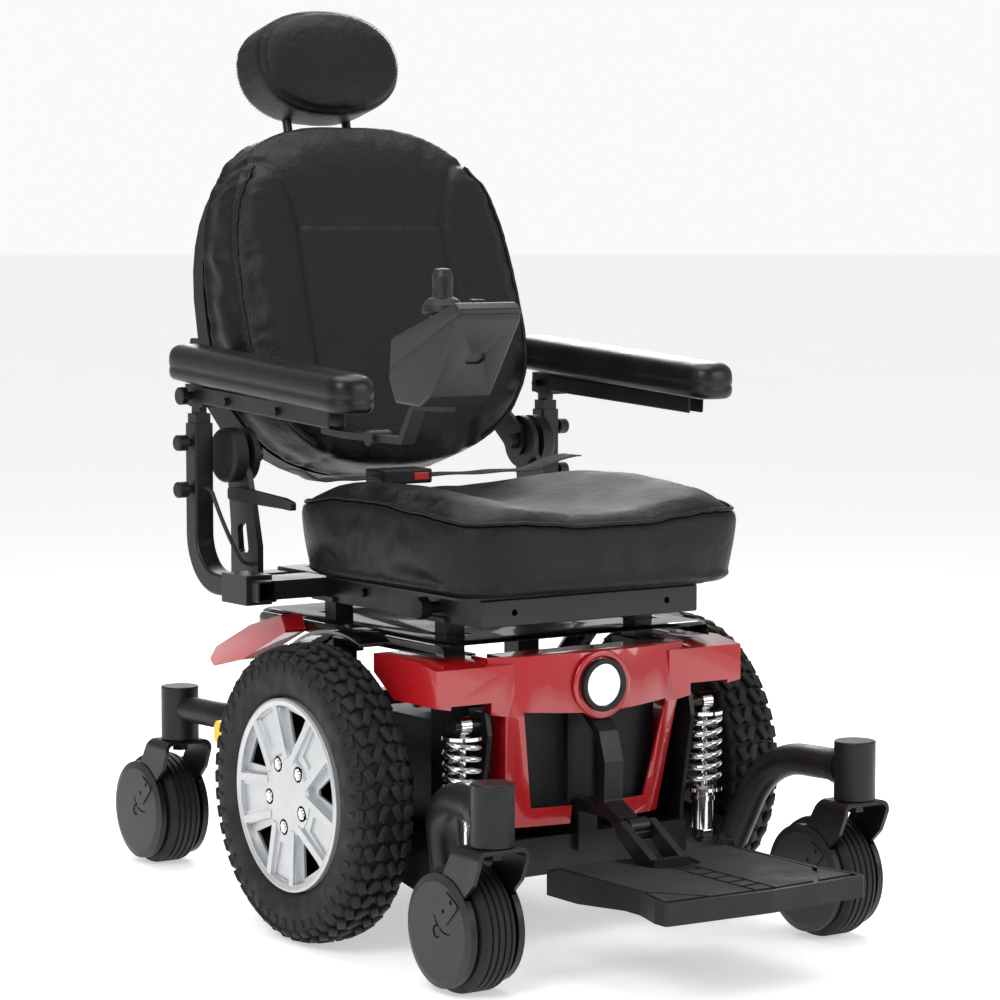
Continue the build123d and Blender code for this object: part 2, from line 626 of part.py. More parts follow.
def seat_frame():
    z0, z1 = seat_rail_bottom, seat_rail_bottom + seat_rail_height
    x1, x0 = seat_frame_x, seat_frame_x - seat_rail_width
    frame = block(-x1, x1, seat_frame_front, seat_frame_front + seat_rail_width, z0, z1, 2)
    frame += block(-x1, x1, seat_frame_rear - seat_rail_width, seat_frame_rear, z0, z1, 2)
    half_sleeve = sleeve_size / 2
    for s in (-1, 1):
        frame += block(*sorted((s * x0, s * x1)), seat_frame_front + 3, seat_frame_rear - 3, z0, z1)
        for y in (post_front_y, post_rear_y):
            pad = 24
            frame += block(s * rail_x - pad, s * rail_x + pad, y - pad, y + pad, z0, z0 + 6)
        reach = sorted((s * (x1 - 4), s * (arm_x - half_sleeve - 0.2)))
        frame += block(*reach, 130, 190, sleeve_bottom - 13, sleeve_bottom + 10)
        holder = block(s * arm_x - half_sleeve - 5, s * arm_x + half_sleeve + 5, 130, 190,
                       sleeve_bottom - half_sleeve - 5, sleeve_bottom + half_sleeve + 5)
        holder -= block(s * arm_x - half_sleeve - 0.1, s * arm_x + half_sleeve + 0.1, 129, 191,
                        sleeve_bottom - half_sleeve - 0.1, sleeve_bottom + half_sleeve + 0.1)
        frame += holder
        shelf = sorted((s * (x1 - 4), s * (recline_plate_x + recline_plate)))
        frame += block(*shelf, seat_frame_rear - 34, seat_frame_rear, z0 + 4, z1 - 4)
        upright = side_slab([(seat_frame_rear - 66, z0 + 4), (seat_frame_rear, z0 + 4), (seat_frame_rear, 470),
                             (recline_y + 22, recline_z - 12), (recline_y + 10, recline_z + 22),
                             (recline_y - 14, recline_z + 20), (recline_y - 40, 500), (seat_frame_rear - 66, 450)],
                            s * recline_plate_x, s * (recline_plate_x + recline_plate), 6)
        upright -= side_slab([(224, 440), (248, 440), (252, 470), (232, 484)], s * 150, s * 300, 5)
        pin_end = recline_plate_x + recline_plate + 14
        pin = rod("x", (recline_y, recline_z), recline_pin_radius, s * (recline_plate_x - 26), s * pin_end)
        frame = frame + upright + pin
    frame += block(-x1 + 1, x1 - 1, 20, 60, z1 - 8, z1)
    for x in (-front_hole_x, front_hole_x):
        frame -= rod("y", (x, (z0 + z1) / 2), front_hole_radius, seat_frame_front - 5,
                     seat_frame_front + seat_rail_width + 5)
    return group(frame + lever_pin(), seat_posts(), seat_pan())


def seat_pan():
    z = seat_rail_bottom + seat_rail_height
    pan = block(-178, 178, -190, 128, z + small_gap / 2, z + small_gap / 2 + seat_pan_thickness)
    pan = fillet(pan.edges().filter_by(Axis.Z), 20)
    return pan


cushion_bottom = seat_rail_bottom + seat_rail_height + seat_pan_thickness + 2 * small_gap


def seat_cushion():
    cushion = block(-cushion_half_width, cushion_half_width, cushion_front, cushion_rear, cushion_bottom,
                    cushion_bottom + cushion_height)
    cushion = fillet(cushion.edges().filter_by(Axis.Z), 34)
    return fillet(cushion.edges().filter_by(Axis.Z, reverse=True), 16)


def seat_hardware():
    """Bolts of the seat rails and the star knobs that lock the posts and the armrests."""
    pieces = []
    for s in (-1, 1):
        for y in (-60, 60, 210):
            head = rod("x", (y, seat_rail_bottom + 18), 5, s * (seat_frame_x + 0.1), s * (seat_frame_x + 5))
            pieces.append(head)
        knob_x = seat_frame_x + 0.2
        knob = rod("x", (-96, seat_rail_bottom + 16), 13, s * (knob_x + 12), s * (knob_x + 26))
        for k in range(6):
            y = -96 + 14.5 * cos(radians(60 * k))
            z = seat_rail_bottom + 16 + 14.5 * sin(radians(60 * k))
            knob -= rod("x", (y, z), 3.4, s * knob_x, s * (knob_x + 40))
        knob += rod("x", (-96, seat_rail_bottom + 16), 7, s * knob_x, s * (knob_x + 13))
        pieces.append(knob)
        outside = arm_x + sleeve_size / 2 + 0.2
        for z in (sleeve_top - 24, sleeve_top - 82):
            grip = rod("x", (sleeve_y, z), 10, s * (outside + 6), s * (outside + 20))
            grip = fillet(grip.edges().sort_by(Axis.X)[-1 if s > 0 else 0], 3)
            grip += rod("x", (sleeve_y, z), 5, s * outside, s * (outside + 7))
            pieces.append(grip)
    return group(*pieces)


# ------------------------------------------------------------------ armrests
def arm_sleeve():
    outer = Rectangle(sleeve_size, sleeve_size)
    hole = Rectangle(sleeve_size - 2 * sleeve_wall, sleeve_size - 2 * sleeve_wall)
    outer = fillet(outer.vertices(), 3)
    route = [(arm_x, sleeve_y, sleeve_top), (arm_x, sleeve_y, sleeve_bottom), (arm_x, sleeve_front, sleeve_bottom)]
    return pipe(route, sleeve_bend, outer - hole)


def arm_post():
    """Inner post that slides in the sleeve, forked at the top for the flip-up pin."""
    size = sleeve_size - 2 * sleeve_wall - 2 * arm_fit
    half = size / 2
    shoulder = arm_hinge_z - 22
    post = block(arm_x - half, arm_x + half, sleeve_y - half, sleeve_y + half, sleeve_bottom + sleeve_bend + 4,
                 shoulder)
    tongue = block(arm_x - 5, arm_x + 5, sleeve_y - half, sleeve_y + half, shoulder - 2, arm_hinge_z)
    tongue += rod("x", (arm_hinge_y, arm_hinge_z), half, arm_x - 5, arm_x + 5)
    pin = rod("x", (arm_hinge_y, arm_hinge_z), arm_pin_radius, arm_x - 19, arm_x + 19)
    knob = rod("x", (arm_hinge_y, arm_hinge_z), 11, arm_x + 19, arm_x + 29)
    return post + tongue + pin + fillet(knob.edges(), 2)


def pad_plane():
    """Frame of the armrest: on the hinge, x forward along the tilted arm, z across its top."""
    return Pos(arm_x, arm_hinge_y, arm_hinge_z) * Rot(arm_tilt, 0, 0)


bracket_floor = 14.0          # of the pad's underside above the hinge axis
pad_front = pad_length - (pad_rear - arm_hinge_y)


def arm_bracket():
    """Steel channel under the pad with two ears on the hinge pin."""
    length = pad_front - 48
    channel = block(-12, 12, -length, -24, bracket_floor - 22, bracket_floor - 0.3, 2)
    channel -= block(-9.6, 9.6, -length - 1, -34, bracket_floor - 26, bracket_floor - 3)
    ears = block(-12, 12, -30, 14, bracket_floor - 26, bracket_floor - 0.3)
    ears += rod("x", (0, 0), 13, -12, 12) & block(-12, 12, -20, 20, -14, bracket_floor - 0.3)
    ears -= block(-5.4, 5.4, -24, 24, -60, bracket_floor - 3.4)
    bracket = channel + ears
    bracket -= rod("x", (0, 0), arm_pin_radius + running_fit, -40, 40)
    for y in (-90, -210):
        bracket += rod("x", (y, bracket_floor - 13), 5, 11, 17)
    return pad_plane() * bracket


def arm_pad():
    rear = pad_rear - arm_hinge_y
    half = pad_width / 2
    pad = block(-half, half, -pad_front, rear, bracket_floor, bracket_floor + pad_height)
    pad = fillet(pad.edges().filter_by(Axis.Z), 26)
    pad = fillet(pad.faces().sort_by(Axis.Z)[-1].edges(), 15)
    pad = fillet(pad.faces().sort_by(Axis.Z)[0].edges(), 9)
    return pad_plane() * pad


# ------------------------------------------------------------------ joystick controller (right arm)
panel_bend = (-271.8, 735)      # the top face is level behind this line and climbs in front of it
panel_rear = (-230.6, 722)
panel_front = (-358.7, 764)
controller_profile = [(-226, 676), panel_rear, panel_bend, panel_front, (-369, 756), (-366.7, 744), (-308.4, 660),
                      (-289, 648), (-239.7, 650)]


def controller_volume(inset):
    shape = side_slab(controller_profile, -controller_half_width + inset, controller_half_width - inset, 5)
    if not inset:
        rim = [e for e in shape.edges() if abs(abs(e.center().X) - controller_half_width) < 0.01]
        shape = fillet(rim, 4)
    return shape


def seam_half(upper):
    """Half space above or below the parting line of the controller."""
    gap = small_gap / 2 if upper else -small_gap / 2
    far = 900 if upper else 500
    line = [(-100, 627.6 + gap), (-420, 775.5 + gap), (-420, far), (-100, far)]
    return side_slab(line, -80, 80)


def controller_base():
    wall = 2.5
    shape = controller_volume(0) & seam_half(False)
    shape -= side_slab([(-233.4, 684), (-233.4, 740), (-345, 790), (-361, 748), (-307.2, 666), (-288.9, 652),
                        (-242, 654)], -controller_half_width + wall, controller_half_width - wall) & seam_half(False)
    port = Plane(origin=(0, -337.5, 702), x_dir=(1, 0, 0), z_dir=(0, -0.82, -0.57)) * SlotOverall(26, 15)
    shape -= extrude(port, amount=-3) + extrude(port, amount=30)
    for y0, y1 in ((stick_y - 18, stick_y - 12), (stick_y + 12, stick_y + 18)):
        lug = block(-7, 7, y0, y1, 650.5, stick_pivot_z + 6)
        shape += lug - rod("y", (0, stick_pivot_z), stick_pin_radius + running_fit, y0 - 1, y1 + 1)
    return Pos(-arm_x, 0, 0) * shape.solids().sort_by(SortBy.VOLUME)[-1]


def stick_opening(radius):
    return rod("z", (0, stick_y), radius, stick_pivot_z - 30, stick_pivot_z + 60)


def controller_top():
    wall = 2.5
    shape = controller_volume(0) & seam_half(True)
    inner = side_slab([(-232.9, 660), (-236.9, 717), (-271.8, 729), (-356.4, 757), (-361, 748), (-307.2, 600),
                       (-242, 600)], -controller_half_width + wall, controller_half_width - wall)
    shape = shape - inner - stick_opening(29)
    for x, y, radius in ((-button_x, button_y, 6.3), (button_x, button_y, 6.3), (0, dial_y, 9.2)):
        shape -= rod("z", (x, y), radius, 700, 800)
    return Pos(-arm_x, 0, 0) * shape.solids().sort_by(SortBy.VOLUME)[-1]


def panel_height(y):
    """Height of the controller's top face over a place along the arm."""
    end = panel_rear if y > panel_bend[0] else panel_front
    return panel_bend[1] + (y - panel_bend[0]) * (end[1] - panel_bend[1]) / (end[0] - panel_bend[0])


def button(x, y, radius):
    top = panel_height(y)
    stem = rod("z", (x - arm_x, y), radius, top - 9, top + 2.5)
    return fillet(stem.edges().sort_by(Axis.Z)[-1], 1)


def speed_dial():
    top = panel_height(dial_y)
    dial = rod("z", (-arm_x, dial_y), 8.6, top - 10, top + 8)
    dial = fillet(dial.edges().sort_by(Axis.Z)[-1], 1.5)
    return dial - block(-arm_x - 0.8, -arm_x + 0.8, dial_y - 10, dial_y - 3, top + 7, top + 9)


def joystick():
    """Mushroom knob with a skirt and gaiter, on a stem that swings about the pivot."""
    z = stick_pivot_z
    profile = make_face(Polyline((0, z + 14), (10, z + 14), (15, z + 26), (22, z + 26.5), (23.5, z + 30),
                                 (22.5, z + 37), (17, z + 43), (11.5, z + 46), (11, z + 54), (12, z + 68),
                                 (9, z + 76), (0, z + 77.5), close=True))
    corners = [v for v in profile.vertices() if v.X > 16 or v.Y > z + 44 and v.X > 1]
    profile = fillet(corners, 1.6)
    knob = revolve(Plane.XZ * profile, axis=Axis.Z)
    stem = rod("z", (0, 0), 4, z + 1, z + 15)
    hub = rod("x", (0, z), 5.2, -5.6, 5.6)
    pin = rod("x", (0, z), stick_pin_radius, -10.5, 10.5)
    return Pos(-arm_x, stick_y, 0) * (knob + stem + hub + pin)


def stick_gimbal():
    """Ring that carries the stick's cross pin and turns on its own two trunnions."""
    z = stick_pivot_z
    ring = block(-11, 11, -11, 11, z - 5, z + 5) - block(-6.5, 6.5, -6.5, 6.5, z - 6, z + 6)
    ring -= rod("x", (0, z), stick_pin_radius + running_fit, -20, 20)
    for y0, y1 in ((-16, -10.5), (10.5, 16)):
        ring += rod("y", (0, z), stick_pin_radius, y0, y1)
    return Pos(-arm_x, stick_y, 0) * ring


def controller_bracket():
    """Bar that carries the controller from the right arm's channel."""
    tongue = side_slab([(-30, 604), (-30, 611.2), (-76, 609), (-196, 609), (-222, 647.6), (-286, 647.6),
                        (-286, 641.6), (-228, 641.6), (-202, 601), (-76, 601)], -9, 9)
    end = rod("x", (-140, 605), 9, -14, 14)
    return Pos(-arm_x, 0, 0) * (tongue + end)


# ------------------------------------------------------------------ reclining back
def back_plane():
    """Frame of the back: x across, y up along its front face, z towards the rear."""
    lean = radians(back_lean)
    return Plane(origin=(0, back_foot_y, back_foot_z), x_dir=(-1, 0, 0), z_dir=(0, cos(lean), -sin(lean)))


def back_outline(inset):
    """Egg-shaped face: rounder above its widest level than the quarter of an ellipse, and tapering below."""
    half = back_half_width - inset
    above, below = back_length - back_waist - inset, back_waist - back_foot_gap - inset
    points = []
    for step in range(back_outline_steps):
        turn = radians(360.0 * step / back_outline_steps)
        across = copysign(abs(cos(turn)) ** (2 / back_squareness), cos(turn))
        along = copysign(abs(sin(turn)) ** (2 / back_squareness), sin(turn))
        points.append((half * across, back_waist + (above if along > 0 else below) * along))
    return make_face(Polyline(*points, close=True))


def back_cushion():
    """Egg-shaped pad, with a pocket in each rear corner for the hinge plate of the shell."""
    pad = extrude(back_outline(0), amount=back_pad_thickness)
    rims = [e for e in pad.edges() if abs(e.center().Z) < 0.01]
    pad = back_plane() * fillet(rims, 14)
    for s in (-1, 1):
        reach = sorted((s * (recline_hinge_x - small_gap), s * (back_half_width + 5)))
        pad -= block(*reach, recline_y + 20, recline_y + 110, recline_z + 30, recline_z + 105)
    return pad


def headrest_holes():
    radius = headrest_bar_radius + running_fit
    rise = headrest_rear_offset + 20
    holes = [Pos(x, back_length - 60, rise) * Rot(90, 0, 0) * Cylinder(radius, 300)
             for x in (-headrest_bar_x, headrest_bar_x)]
    return holes[0] + holes[1]


def back_shell():
    face = Pos(0, 0, back_pad_thickness + small_gap / 2) * back_outline(5)
    shell = extrude(face, amount=back_shell_thickness)
    for x in (-headrest_bar_x, headrest_bar_x):
        shell += Pos(x, back_length - 90, headrest_rear_offset + 20) * Rot(90, 0, 0) * Cylinder(11, 130)
    shell -= Pos(0, 0, -1) * extrude(back_outline(-30), amount=back_pad_thickness + small_gap / 2 + 1)
    shell -= headrest_holes()
    shell = back_plane() * shell
    hinge_x = recline_hinge_x
    for s in (-1, 1):
        hinge = side_slab([(recline_y - 16, recline_z - 8), (recline_y - 8, recline_z - 18),
                           (recline_y + 14, recline_z - 14), (390, 640), (400, 700), (372, 700), (340, 640),
                           (recline_y - 12, recline_z + 20)], s * hinge_x, s * (hinge_x + 6), 5)
        reach = block(*sorted((s * 120, s * (hinge_x + 6))), 352, 372, 640, 676)
        shell = shell + hinge + reach
        shell -= rod("x", (recline_y, recline_z), recline_pin_radius + running_fit, s * 180, s * 220)
    return shell.solids().sort_by(SortBy.VOLUME)[-1]


def recline_caps():
    """Round covers of the recline hinge; the inner pair turns with the back."""
    inner = rod("x", (recline_y, recline_z), recline_cap_radius, recline_hinge_x + 6.1,
                recline_plate_x - small_gap)
    inner -= rod("x", (recline_y, recline_z), recline_pin_radius + 0.5, 190, 230)
    return both(inner)


def recline_covers():
    start = recline_plate_x + recline_plate + small_gap / 2
    outer = rod("x", (recline_y, recline_z), recline_cap_radius, start, start + 20)
    outer = fillet(outer.edges().sort_by(Axis.X)[-1], 6)
    outer -= rod("x", (recline_y, recline_z), recline_pin_radius + 0.5, start - 1, start + 15)
    return both(outer)


def recline_lever():
    """Flat handle on the right side that frees the back."""
    x0, x1 = recline_plate_x + recline_plate + 0.6, recline_plate_x + recline_plate + 8
    handle = side_slab([(262, 505), (262, 519), (230, 521), (128, 515), (108, 511), (108, 501), (128, 502),
                        (232, 503)], x0, x1, 3)
    handle -= rod("x", (250, 512), 3 + running_fit, x0 - 4, x0 + 4)
    return mirrored(handle)


def lever_pin():
    return mirrored(rod("x", (250, 512), 3, recline_plate_x + recline_plate - 3,
                        recline_plate_x + recline_plate + 3.6))


# ------------------------------------------------------------------ headrest
def headrest_bars():
    rise = headrest_rear_offset + 20
    low = back_length - 150
    high = headrest_centre - headrest_half_height + 40
    bars = [Pos(x, (low + high) / 2, rise) * Rot(90, 0, 0) * Cylinder(headrest_bar_radius, high - low)
            for x in (-headrest_bar_x, headrest_bar_x)]
    bridge = Pos(0, high, rise) * Box(2 * headrest_bar_x + 20, 14, 12)
    return back_plane() * (bridge + bars[0] + bars[1])


def headrest():
    outline = Ellipse(headrest_half_width, headrest_half_height)
    start = headrest_rear_offset - headrest_depth / 2
    pad = extrude(Pos(0, headrest_centre, start) * outline, amount=headrest_depth)
    pad = fillet(pad.edges(), 16)
    rise = headrest_rear_offset + 20
    high = headrest_centre - headrest_half_height + 40
    for x in (-headrest_bar_x, headrest_bar_x):
        pad -= Pos(x, high - 100, rise) * Rot(90, 0, 0) * Cylinder(headrest_bar_radius + 0.2, 200)
    pad -= Pos(0, high, rise) * Box(2 * headrest_bar_x + 20.4, 14.4, 12.4)
    return back_plane() * pad


# ------------------------------------------------------------------ foot platform
def platform_outline(inset):
    rear, front = platform_rear - inset, platform_front + inset
    narrow, wide = platform_half_width - inset, platform_front_half_width - inset
    flare = platform_front + 72
    return [(-narrow, rear), (narrow, rear), (narrow, flare), (wide, flare - 44), (wide, front + 8), (0, front),
            (-wide, front + 8), (-wide, flare - 44), (-narrow, flare)]


def foot_platform():
    top, low = platform_top, platform_top - platform_plate
    plate = top_slab(platform_outline(0), low - 16, top + 4, 4)
    plate -= top_slab(platform_outline(4), low - 30, low)
    plate -= top_slab(platform_outline(5), top, top + 10)
    plate -= side_slab([(platform_rear - 20, top), (platform_rear - 20, top + 10), (platform_rear + 10, top + 10),
                        (platform_rear + 10, top)], -200, 200)
    for s in (-1, 1):
        x0, x1 = sorted((s * (platform_half_width - 4), s * platform_half_width))
        plate += side_slab([(platform_rear, top), (platform_rear, top - 29), (platform_rear - 60, top - 29),
                            (platform_rear - 160, top - 20), (platform_rear - 160, top - 10)], x0, x1)
    prong_x0, prong_x1 = strap_width / 2 + 2, strap_width / 2 + 12
    slope = [(platform_pivot_y + 9, platform_pivot_z + 4), (platform_pivot_y - 4, platform_pivot_z + 9),
             (platform_pivot_y - 70, top + 6), (platform_pivot_y - 70, top - 2), (platform_pivot_y - 40, top - 2),
             (platform_pivot_y + 2, platform_pivot_z - 9)]
    for s in (-1, 1):
        plate += side_slab(slope, *sorted((s * prong_x0, s * prong_x1)))
    plate += block(-prong_x1, prong_x1, platform_pivot_y - 70, platform_pivot_y - 58, top - 2, top + 10)
    hole = rod("x", (platform_pivot_y, platform_pivot_z), 4 + running_fit, -60, 60)
    return plate - hole


def foot_mats():
    """Rubber treads: two long panels, a strip of small blocks and two corner pieces."""
    z0, z1 = platform_top + 0.1, platform_top + mat_thickness
    rear, flare = platform_rear - 12, platform_front + 72
    front = platform_front + 14
    pieces = []
    lip = platform_half_width - 8
    for s in (-1, 1):
        pieces.append([(s * 34, rear - 66), (s * 50, rear), (s * lip, rear), (s * lip, flare + 4),
                       (s * 72, front + 3), (s * 16, front), (s * 16, rear - 80)])
        pieces.append([(s * (lip + 1), flare - 4), (s * (platform_front_half_width - 8), flare - 46),
                       (s * (platform_front_half_width - 8), front + 8), (s * 80, front + 4)])
    for k in range(5):
        y = rear - 98 - 26 * k
        pieces.append([(-11, y), (11, y), (11, y - 20), (-11, y - 20)])
    return group(*[top_slab(points, z0, z1) for points in pieces])


def platform_mount():
    """Curved strap on the front panel, ending in the tongue that the platform hinges on."""
    half = strap_width / 2
    bow = [(-186, 287), (-191, 287), (-226, 257), (-238, 222), (-236, 176), (-292, 148), (-292, 138), (-284, 138),
           (-226, 162), (-228, 222), (-218, 251), (-186, 279)]
    strap = side_slab(bow, -half, half, 2.2)
    stay = block(-half, half, -232, chassis_front + 0.2, 158, 172)
    pin = rod("x", (platform_pivot_y, platform_pivot_z), 4, -half - 12, half + 12)
    tongue = rod("x", (platform_pivot_y, platform_pivot_z), 11, -half, half)
    drop = block(-half, half, chassis_front - 8, chassis_front, rail_top - 20, 172)
    return strap + stay + pin + tongue + drop


# ------------------------------------------------------------------ lap belt and cable
def lap_belt():
    """Two webbing straps that lie across the rear of the cushion, one on each side of the buckle."""
    thickness = 2.2
    y0, y1 = cushion_rear - 42, cushion_rear - 4
    z = cushion_bottom + cushion_height + 8
    straps = []
    for x_out, x_in in ((-recline_plate_x + 2, -92), (recline_plate_x - 2, -14)):
        side = 1 if x_out > 0 else -1
        line = [(x_out, z + 18), (x_out, z + 18 + thickness), (x_out - side * 40, z + 4 + thickness),
                (x_in, z + thickness), (x_in, z), (x_out - side * 40, z + 4)]
        straps.append(front_slab(line, y0, y1))
    return group(*straps)


def belt_buckle():
    y0, y1 = cushion_rear - 45, cushion_rear - 1
    z = cushion_bottom + cushion_height + 1
    case = block(-90, -18, y0, y1, z, z + 18, 3)
    case -= block(-94, -88, y0 + 2.6, y1 - 2.6, z + 6.6, z + 9.6)
    case -= block(-18.5, -13, y0 + 2.6, y1 - 2.6, z + 6.6, z + 9.6)
    case -= block(-46, -24, y0 - 1, y0 + 6, z + 4, z + 14)
    return case


def belt_button():
    y0 = cushion_rear - 45
    z = cushion_bottom + cushion_height + 1
    return block(-45.7, -24.3, y0 - 1.5, y0 + 3.4, z + 4.3, z + 13.7, 1)


cable_radius = 2.6
cable_route = [(-262.0, 261.8, 520.0), (-262.0, 246.0, 519.0), (-257.0, 234.0, 489.0), (-247.0, 223.0, 455.0),
               (-237.0, 214.0, 430.0), (-222.7, 213.0, 427.0)]


def bend_radii(points):
    """The largest round bend that each pair of runs leaves room for."""
    radii = []
    for a, b, c in zip(points, points[1:], points[2:]):
        first, second = Vector(*b) - Vector(*a), Vector(*c) - Vector(*b)
        turn = radians(first.get_angle(second))
        radii.append(0.45 * min(first.length, second.length) / tan(turn / 2))
    return radii


def control_cable():
    """Lead that drops in a loop from the armrest sleeve to the seat bracket."""
    path = FilletPolyline(*cable_route, radius=bend_radii(cable_route))
    start = Plane(origin=path @ 0, x_dir=(1, 0, 0), z_dir=path % 0)
    return sweep(start * Circle(cable_radius), path=path)


# ------------------------------------------------------------------ all sub-parts
shapes = {
    "chassis_frame": chassis_frame(),
    "batteries": batteries(),
    "power_module": power_module(),
    "drive_motors": both(drive_motor()),
    "body_panels": group(body_shroud(), both(rear_fender())),
    "front_panel": front_panel(),
    "top_cover": top_cover(),
    "badge": badge(),
    "shock_rods": both(shock_rod()),
    "seat_frame": seat_frame(),
    "seat_hardware": seat_hardware(),
    "seat_cushion": seat_cushion(),
    "arm_sleeves": both(arm_sleeve()),
    "recline_covers": recline_covers(),
    "recline_lever": recline_lever(),
    "back_shell": group(back_shell(), recline_caps()),
    "back_cushion": back_cushion(),
    "headrest_bars": headrest_bars(),
    "headrest": headrest(),
    "rear_caster_beam": rear_beam(),
    "platform_mount": platform_mount(),
    "foot_platform": foot_platform(),
    "foot_mats": foot_mats(),
    "lap_belt": lap_belt(),
    "belt_buckle": belt_buckle(),
    "belt_button": belt_button(),
    "control_cable": control_cable(),
    "controller_base": controller_base(),
    "controller_top": controller_top(),
    "joystick": joystick(),
    "stick_gimbal": stick_gimbal(),
    "power_button": button(-button_x, button_y, 6),
    "horn_button": button(button_x, button_y, 6),
    "speed_dial": speed_dial(),
}

paired = {
    "drive_tyre": drive_tyre(),
    "wheel_trim": wheel_trim(),
    "front_arm": front_arm(),
    "shock_body": shock_body(),
    "coil_spring": coil_spring(),
    "freewheel_lever": freewheel_lever(),
    "arm_post": arm_post(),
    "arm_bracket": arm_bracket(),
    "arm_pad": arm_pad(),
    "front_fork": caster_fork(front_barrel_x, front_barrel_y),
    "front_caster": caster_wheel(front_barrel_x, front_barrel_y),
    "rear_fork": caster_fork(rear_barrel_x, rear_barrel_y),
    "rear_caster": caster_wheel(rear_barrel_x, rear_barrel_y),
}
for name, shape in paired.items():
    shapes[name + "_left"] = shape
    shapes[name + "_right"] = mirrored(shape)
shapes["arm_bracket_right"] = group(shapes["arm_bracket_right"], controller_bracket())

rear_most = rear_barrel_y + caster_trail + caster_radius
middle_y = (platform_front + rear_most) / 2
os.makedirs("parts", exist_ok=True)
for name, shape in shapes.items():
    export_step(Pos(0, -middle_y, 0) * shape, f"parts/{name}.step")
print("cable bends", [round(radius, 1) for radius in bend_radii(cable_route)])
print(len(shapes), "sub-parts; drawing moved by", round(-middle_y, 3), "mm along y")
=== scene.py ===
import json
from math import cos, pi, radians, sin
import bmesh
import bpy
import numpy as np
from mathutils import Matrix, Vector
from mathutils.bvhtree import BVHTree


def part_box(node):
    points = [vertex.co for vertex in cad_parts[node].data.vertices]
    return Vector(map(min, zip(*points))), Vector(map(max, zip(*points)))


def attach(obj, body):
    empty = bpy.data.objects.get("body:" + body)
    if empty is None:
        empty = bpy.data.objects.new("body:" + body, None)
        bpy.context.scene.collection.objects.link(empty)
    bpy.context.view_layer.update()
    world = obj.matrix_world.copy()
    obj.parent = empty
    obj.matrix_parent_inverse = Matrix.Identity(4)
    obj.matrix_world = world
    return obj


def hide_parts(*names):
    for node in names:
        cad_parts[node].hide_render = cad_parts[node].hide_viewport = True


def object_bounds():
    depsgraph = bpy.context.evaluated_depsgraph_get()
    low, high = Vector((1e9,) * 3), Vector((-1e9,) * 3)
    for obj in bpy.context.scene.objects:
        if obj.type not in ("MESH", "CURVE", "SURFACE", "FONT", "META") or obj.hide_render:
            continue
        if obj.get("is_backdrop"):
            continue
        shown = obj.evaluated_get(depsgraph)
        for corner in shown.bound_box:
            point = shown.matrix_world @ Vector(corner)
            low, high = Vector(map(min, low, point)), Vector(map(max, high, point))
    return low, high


# A mid-wheel-drive power wheelchair with a high-back captain's seat.  Its user faces -Y, and the
# user's right is -X.
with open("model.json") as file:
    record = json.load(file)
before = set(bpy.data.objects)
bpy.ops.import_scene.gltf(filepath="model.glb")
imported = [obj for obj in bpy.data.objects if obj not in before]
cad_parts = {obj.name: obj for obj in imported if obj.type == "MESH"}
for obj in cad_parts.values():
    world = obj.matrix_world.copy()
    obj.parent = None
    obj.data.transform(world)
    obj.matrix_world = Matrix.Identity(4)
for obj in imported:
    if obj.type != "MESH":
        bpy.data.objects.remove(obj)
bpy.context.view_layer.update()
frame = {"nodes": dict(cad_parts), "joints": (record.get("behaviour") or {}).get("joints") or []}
joints = {joint["name"]: joint for joint in frame["joints"]}

# ---------------------------------------------------------------- camera, floor and studio light
# The camera stands ahead of the chair on the user's right, level with the armrests.  The floor is
# white paper on a light table, and four large soft boxes hang round the chair.
camera = bpy.data.objects.new("camera", bpy.data.cameras.new("camera"))
camera.location = (-2.2617, -3.3514, 0.8628)
camera.rotation_euler = (radians(90 - 5.01), 0, radians(-34.32))
camera.data.lens = 119.18
camera.data.sensor_width = 36
bpy.context.collection.objects.link(camera)
bpy.context.scene.camera = camera
bpy.context.scene.view_settings.view_transform = "Standard"


def soft_box(name, place, aim, size, watts):
    """A rectangular lamp at place that faces aim."""
    lamp = bpy.data.objects.new(name, bpy.data.lights.new(name, "AREA"))
    lamp.data.shape = "RECTANGLE"
    lamp.data.size, lamp.data.size_y = size
    lamp.data.energy = watts
    lamp.location = place
    lamp.rotation_euler = (Vector(aim) - Vector(place)).to_track_quat("-Z", "Y").to_euler()
    bpy.context.collection.objects.link(lamp)


soft_box("key_light", (-2.6, -1.6, 2.6), (0, 0, 0.5), (1.6, 1.6), 60)
soft_box("fill_light", (1.8, -2.8, 1.6), (0, 0, 0.5), (1.6, 1.2), 22)
soft_box("top_light", (0.2, 0.3, 3.0), (0, 0, 0.4), (2.2, 2.2), 45)
soft_box("rear_light", (1.6, 2.4, 1.9), (0, 0, 0.7), (1.4, 1.4), 40)


def linear(code):
    """A colour given as sRGB hex, in linear light."""
    channels = [int(code[i:i + 2], 16) / 255 for i in (0, 2, 4)]
    return [c / 12.92 if c <= 0.04045 else ((c + 0.055) / 1.055) ** 2.4 for c in channels] + [1.0]


def add_node(material, kind, values=(), links=(), **settings):
    """Adds a shader node, then its settings, its input values and its links (input, node, output)."""
    added = material.node_tree.nodes.new("ShaderNode" + kind)
    for name, value in settings.items():
        setattr(added, name, value)
    for name, value in values:
        added.inputs[name].default_value = value
    for name, source, output in links:
        material.node_tree.links.new(source.outputs[output], added.inputs[name])
    return added


def finish_of(name, colour, roughness, values=()):
    """A material of one colour, to which tint, grain and wear add what the real surface shows."""
    material = bpy.data.materials.new(name)
    material.use_nodes = True
    shader = material.node_tree.nodes["Principled BSDF"]
    shader.inputs["Base Color"].default_value = linear(colour)
    shader.inputs["Roughness"].default_value = roughness
    for key, value in values:
        shader.inputs[key].default_value = value
    return material


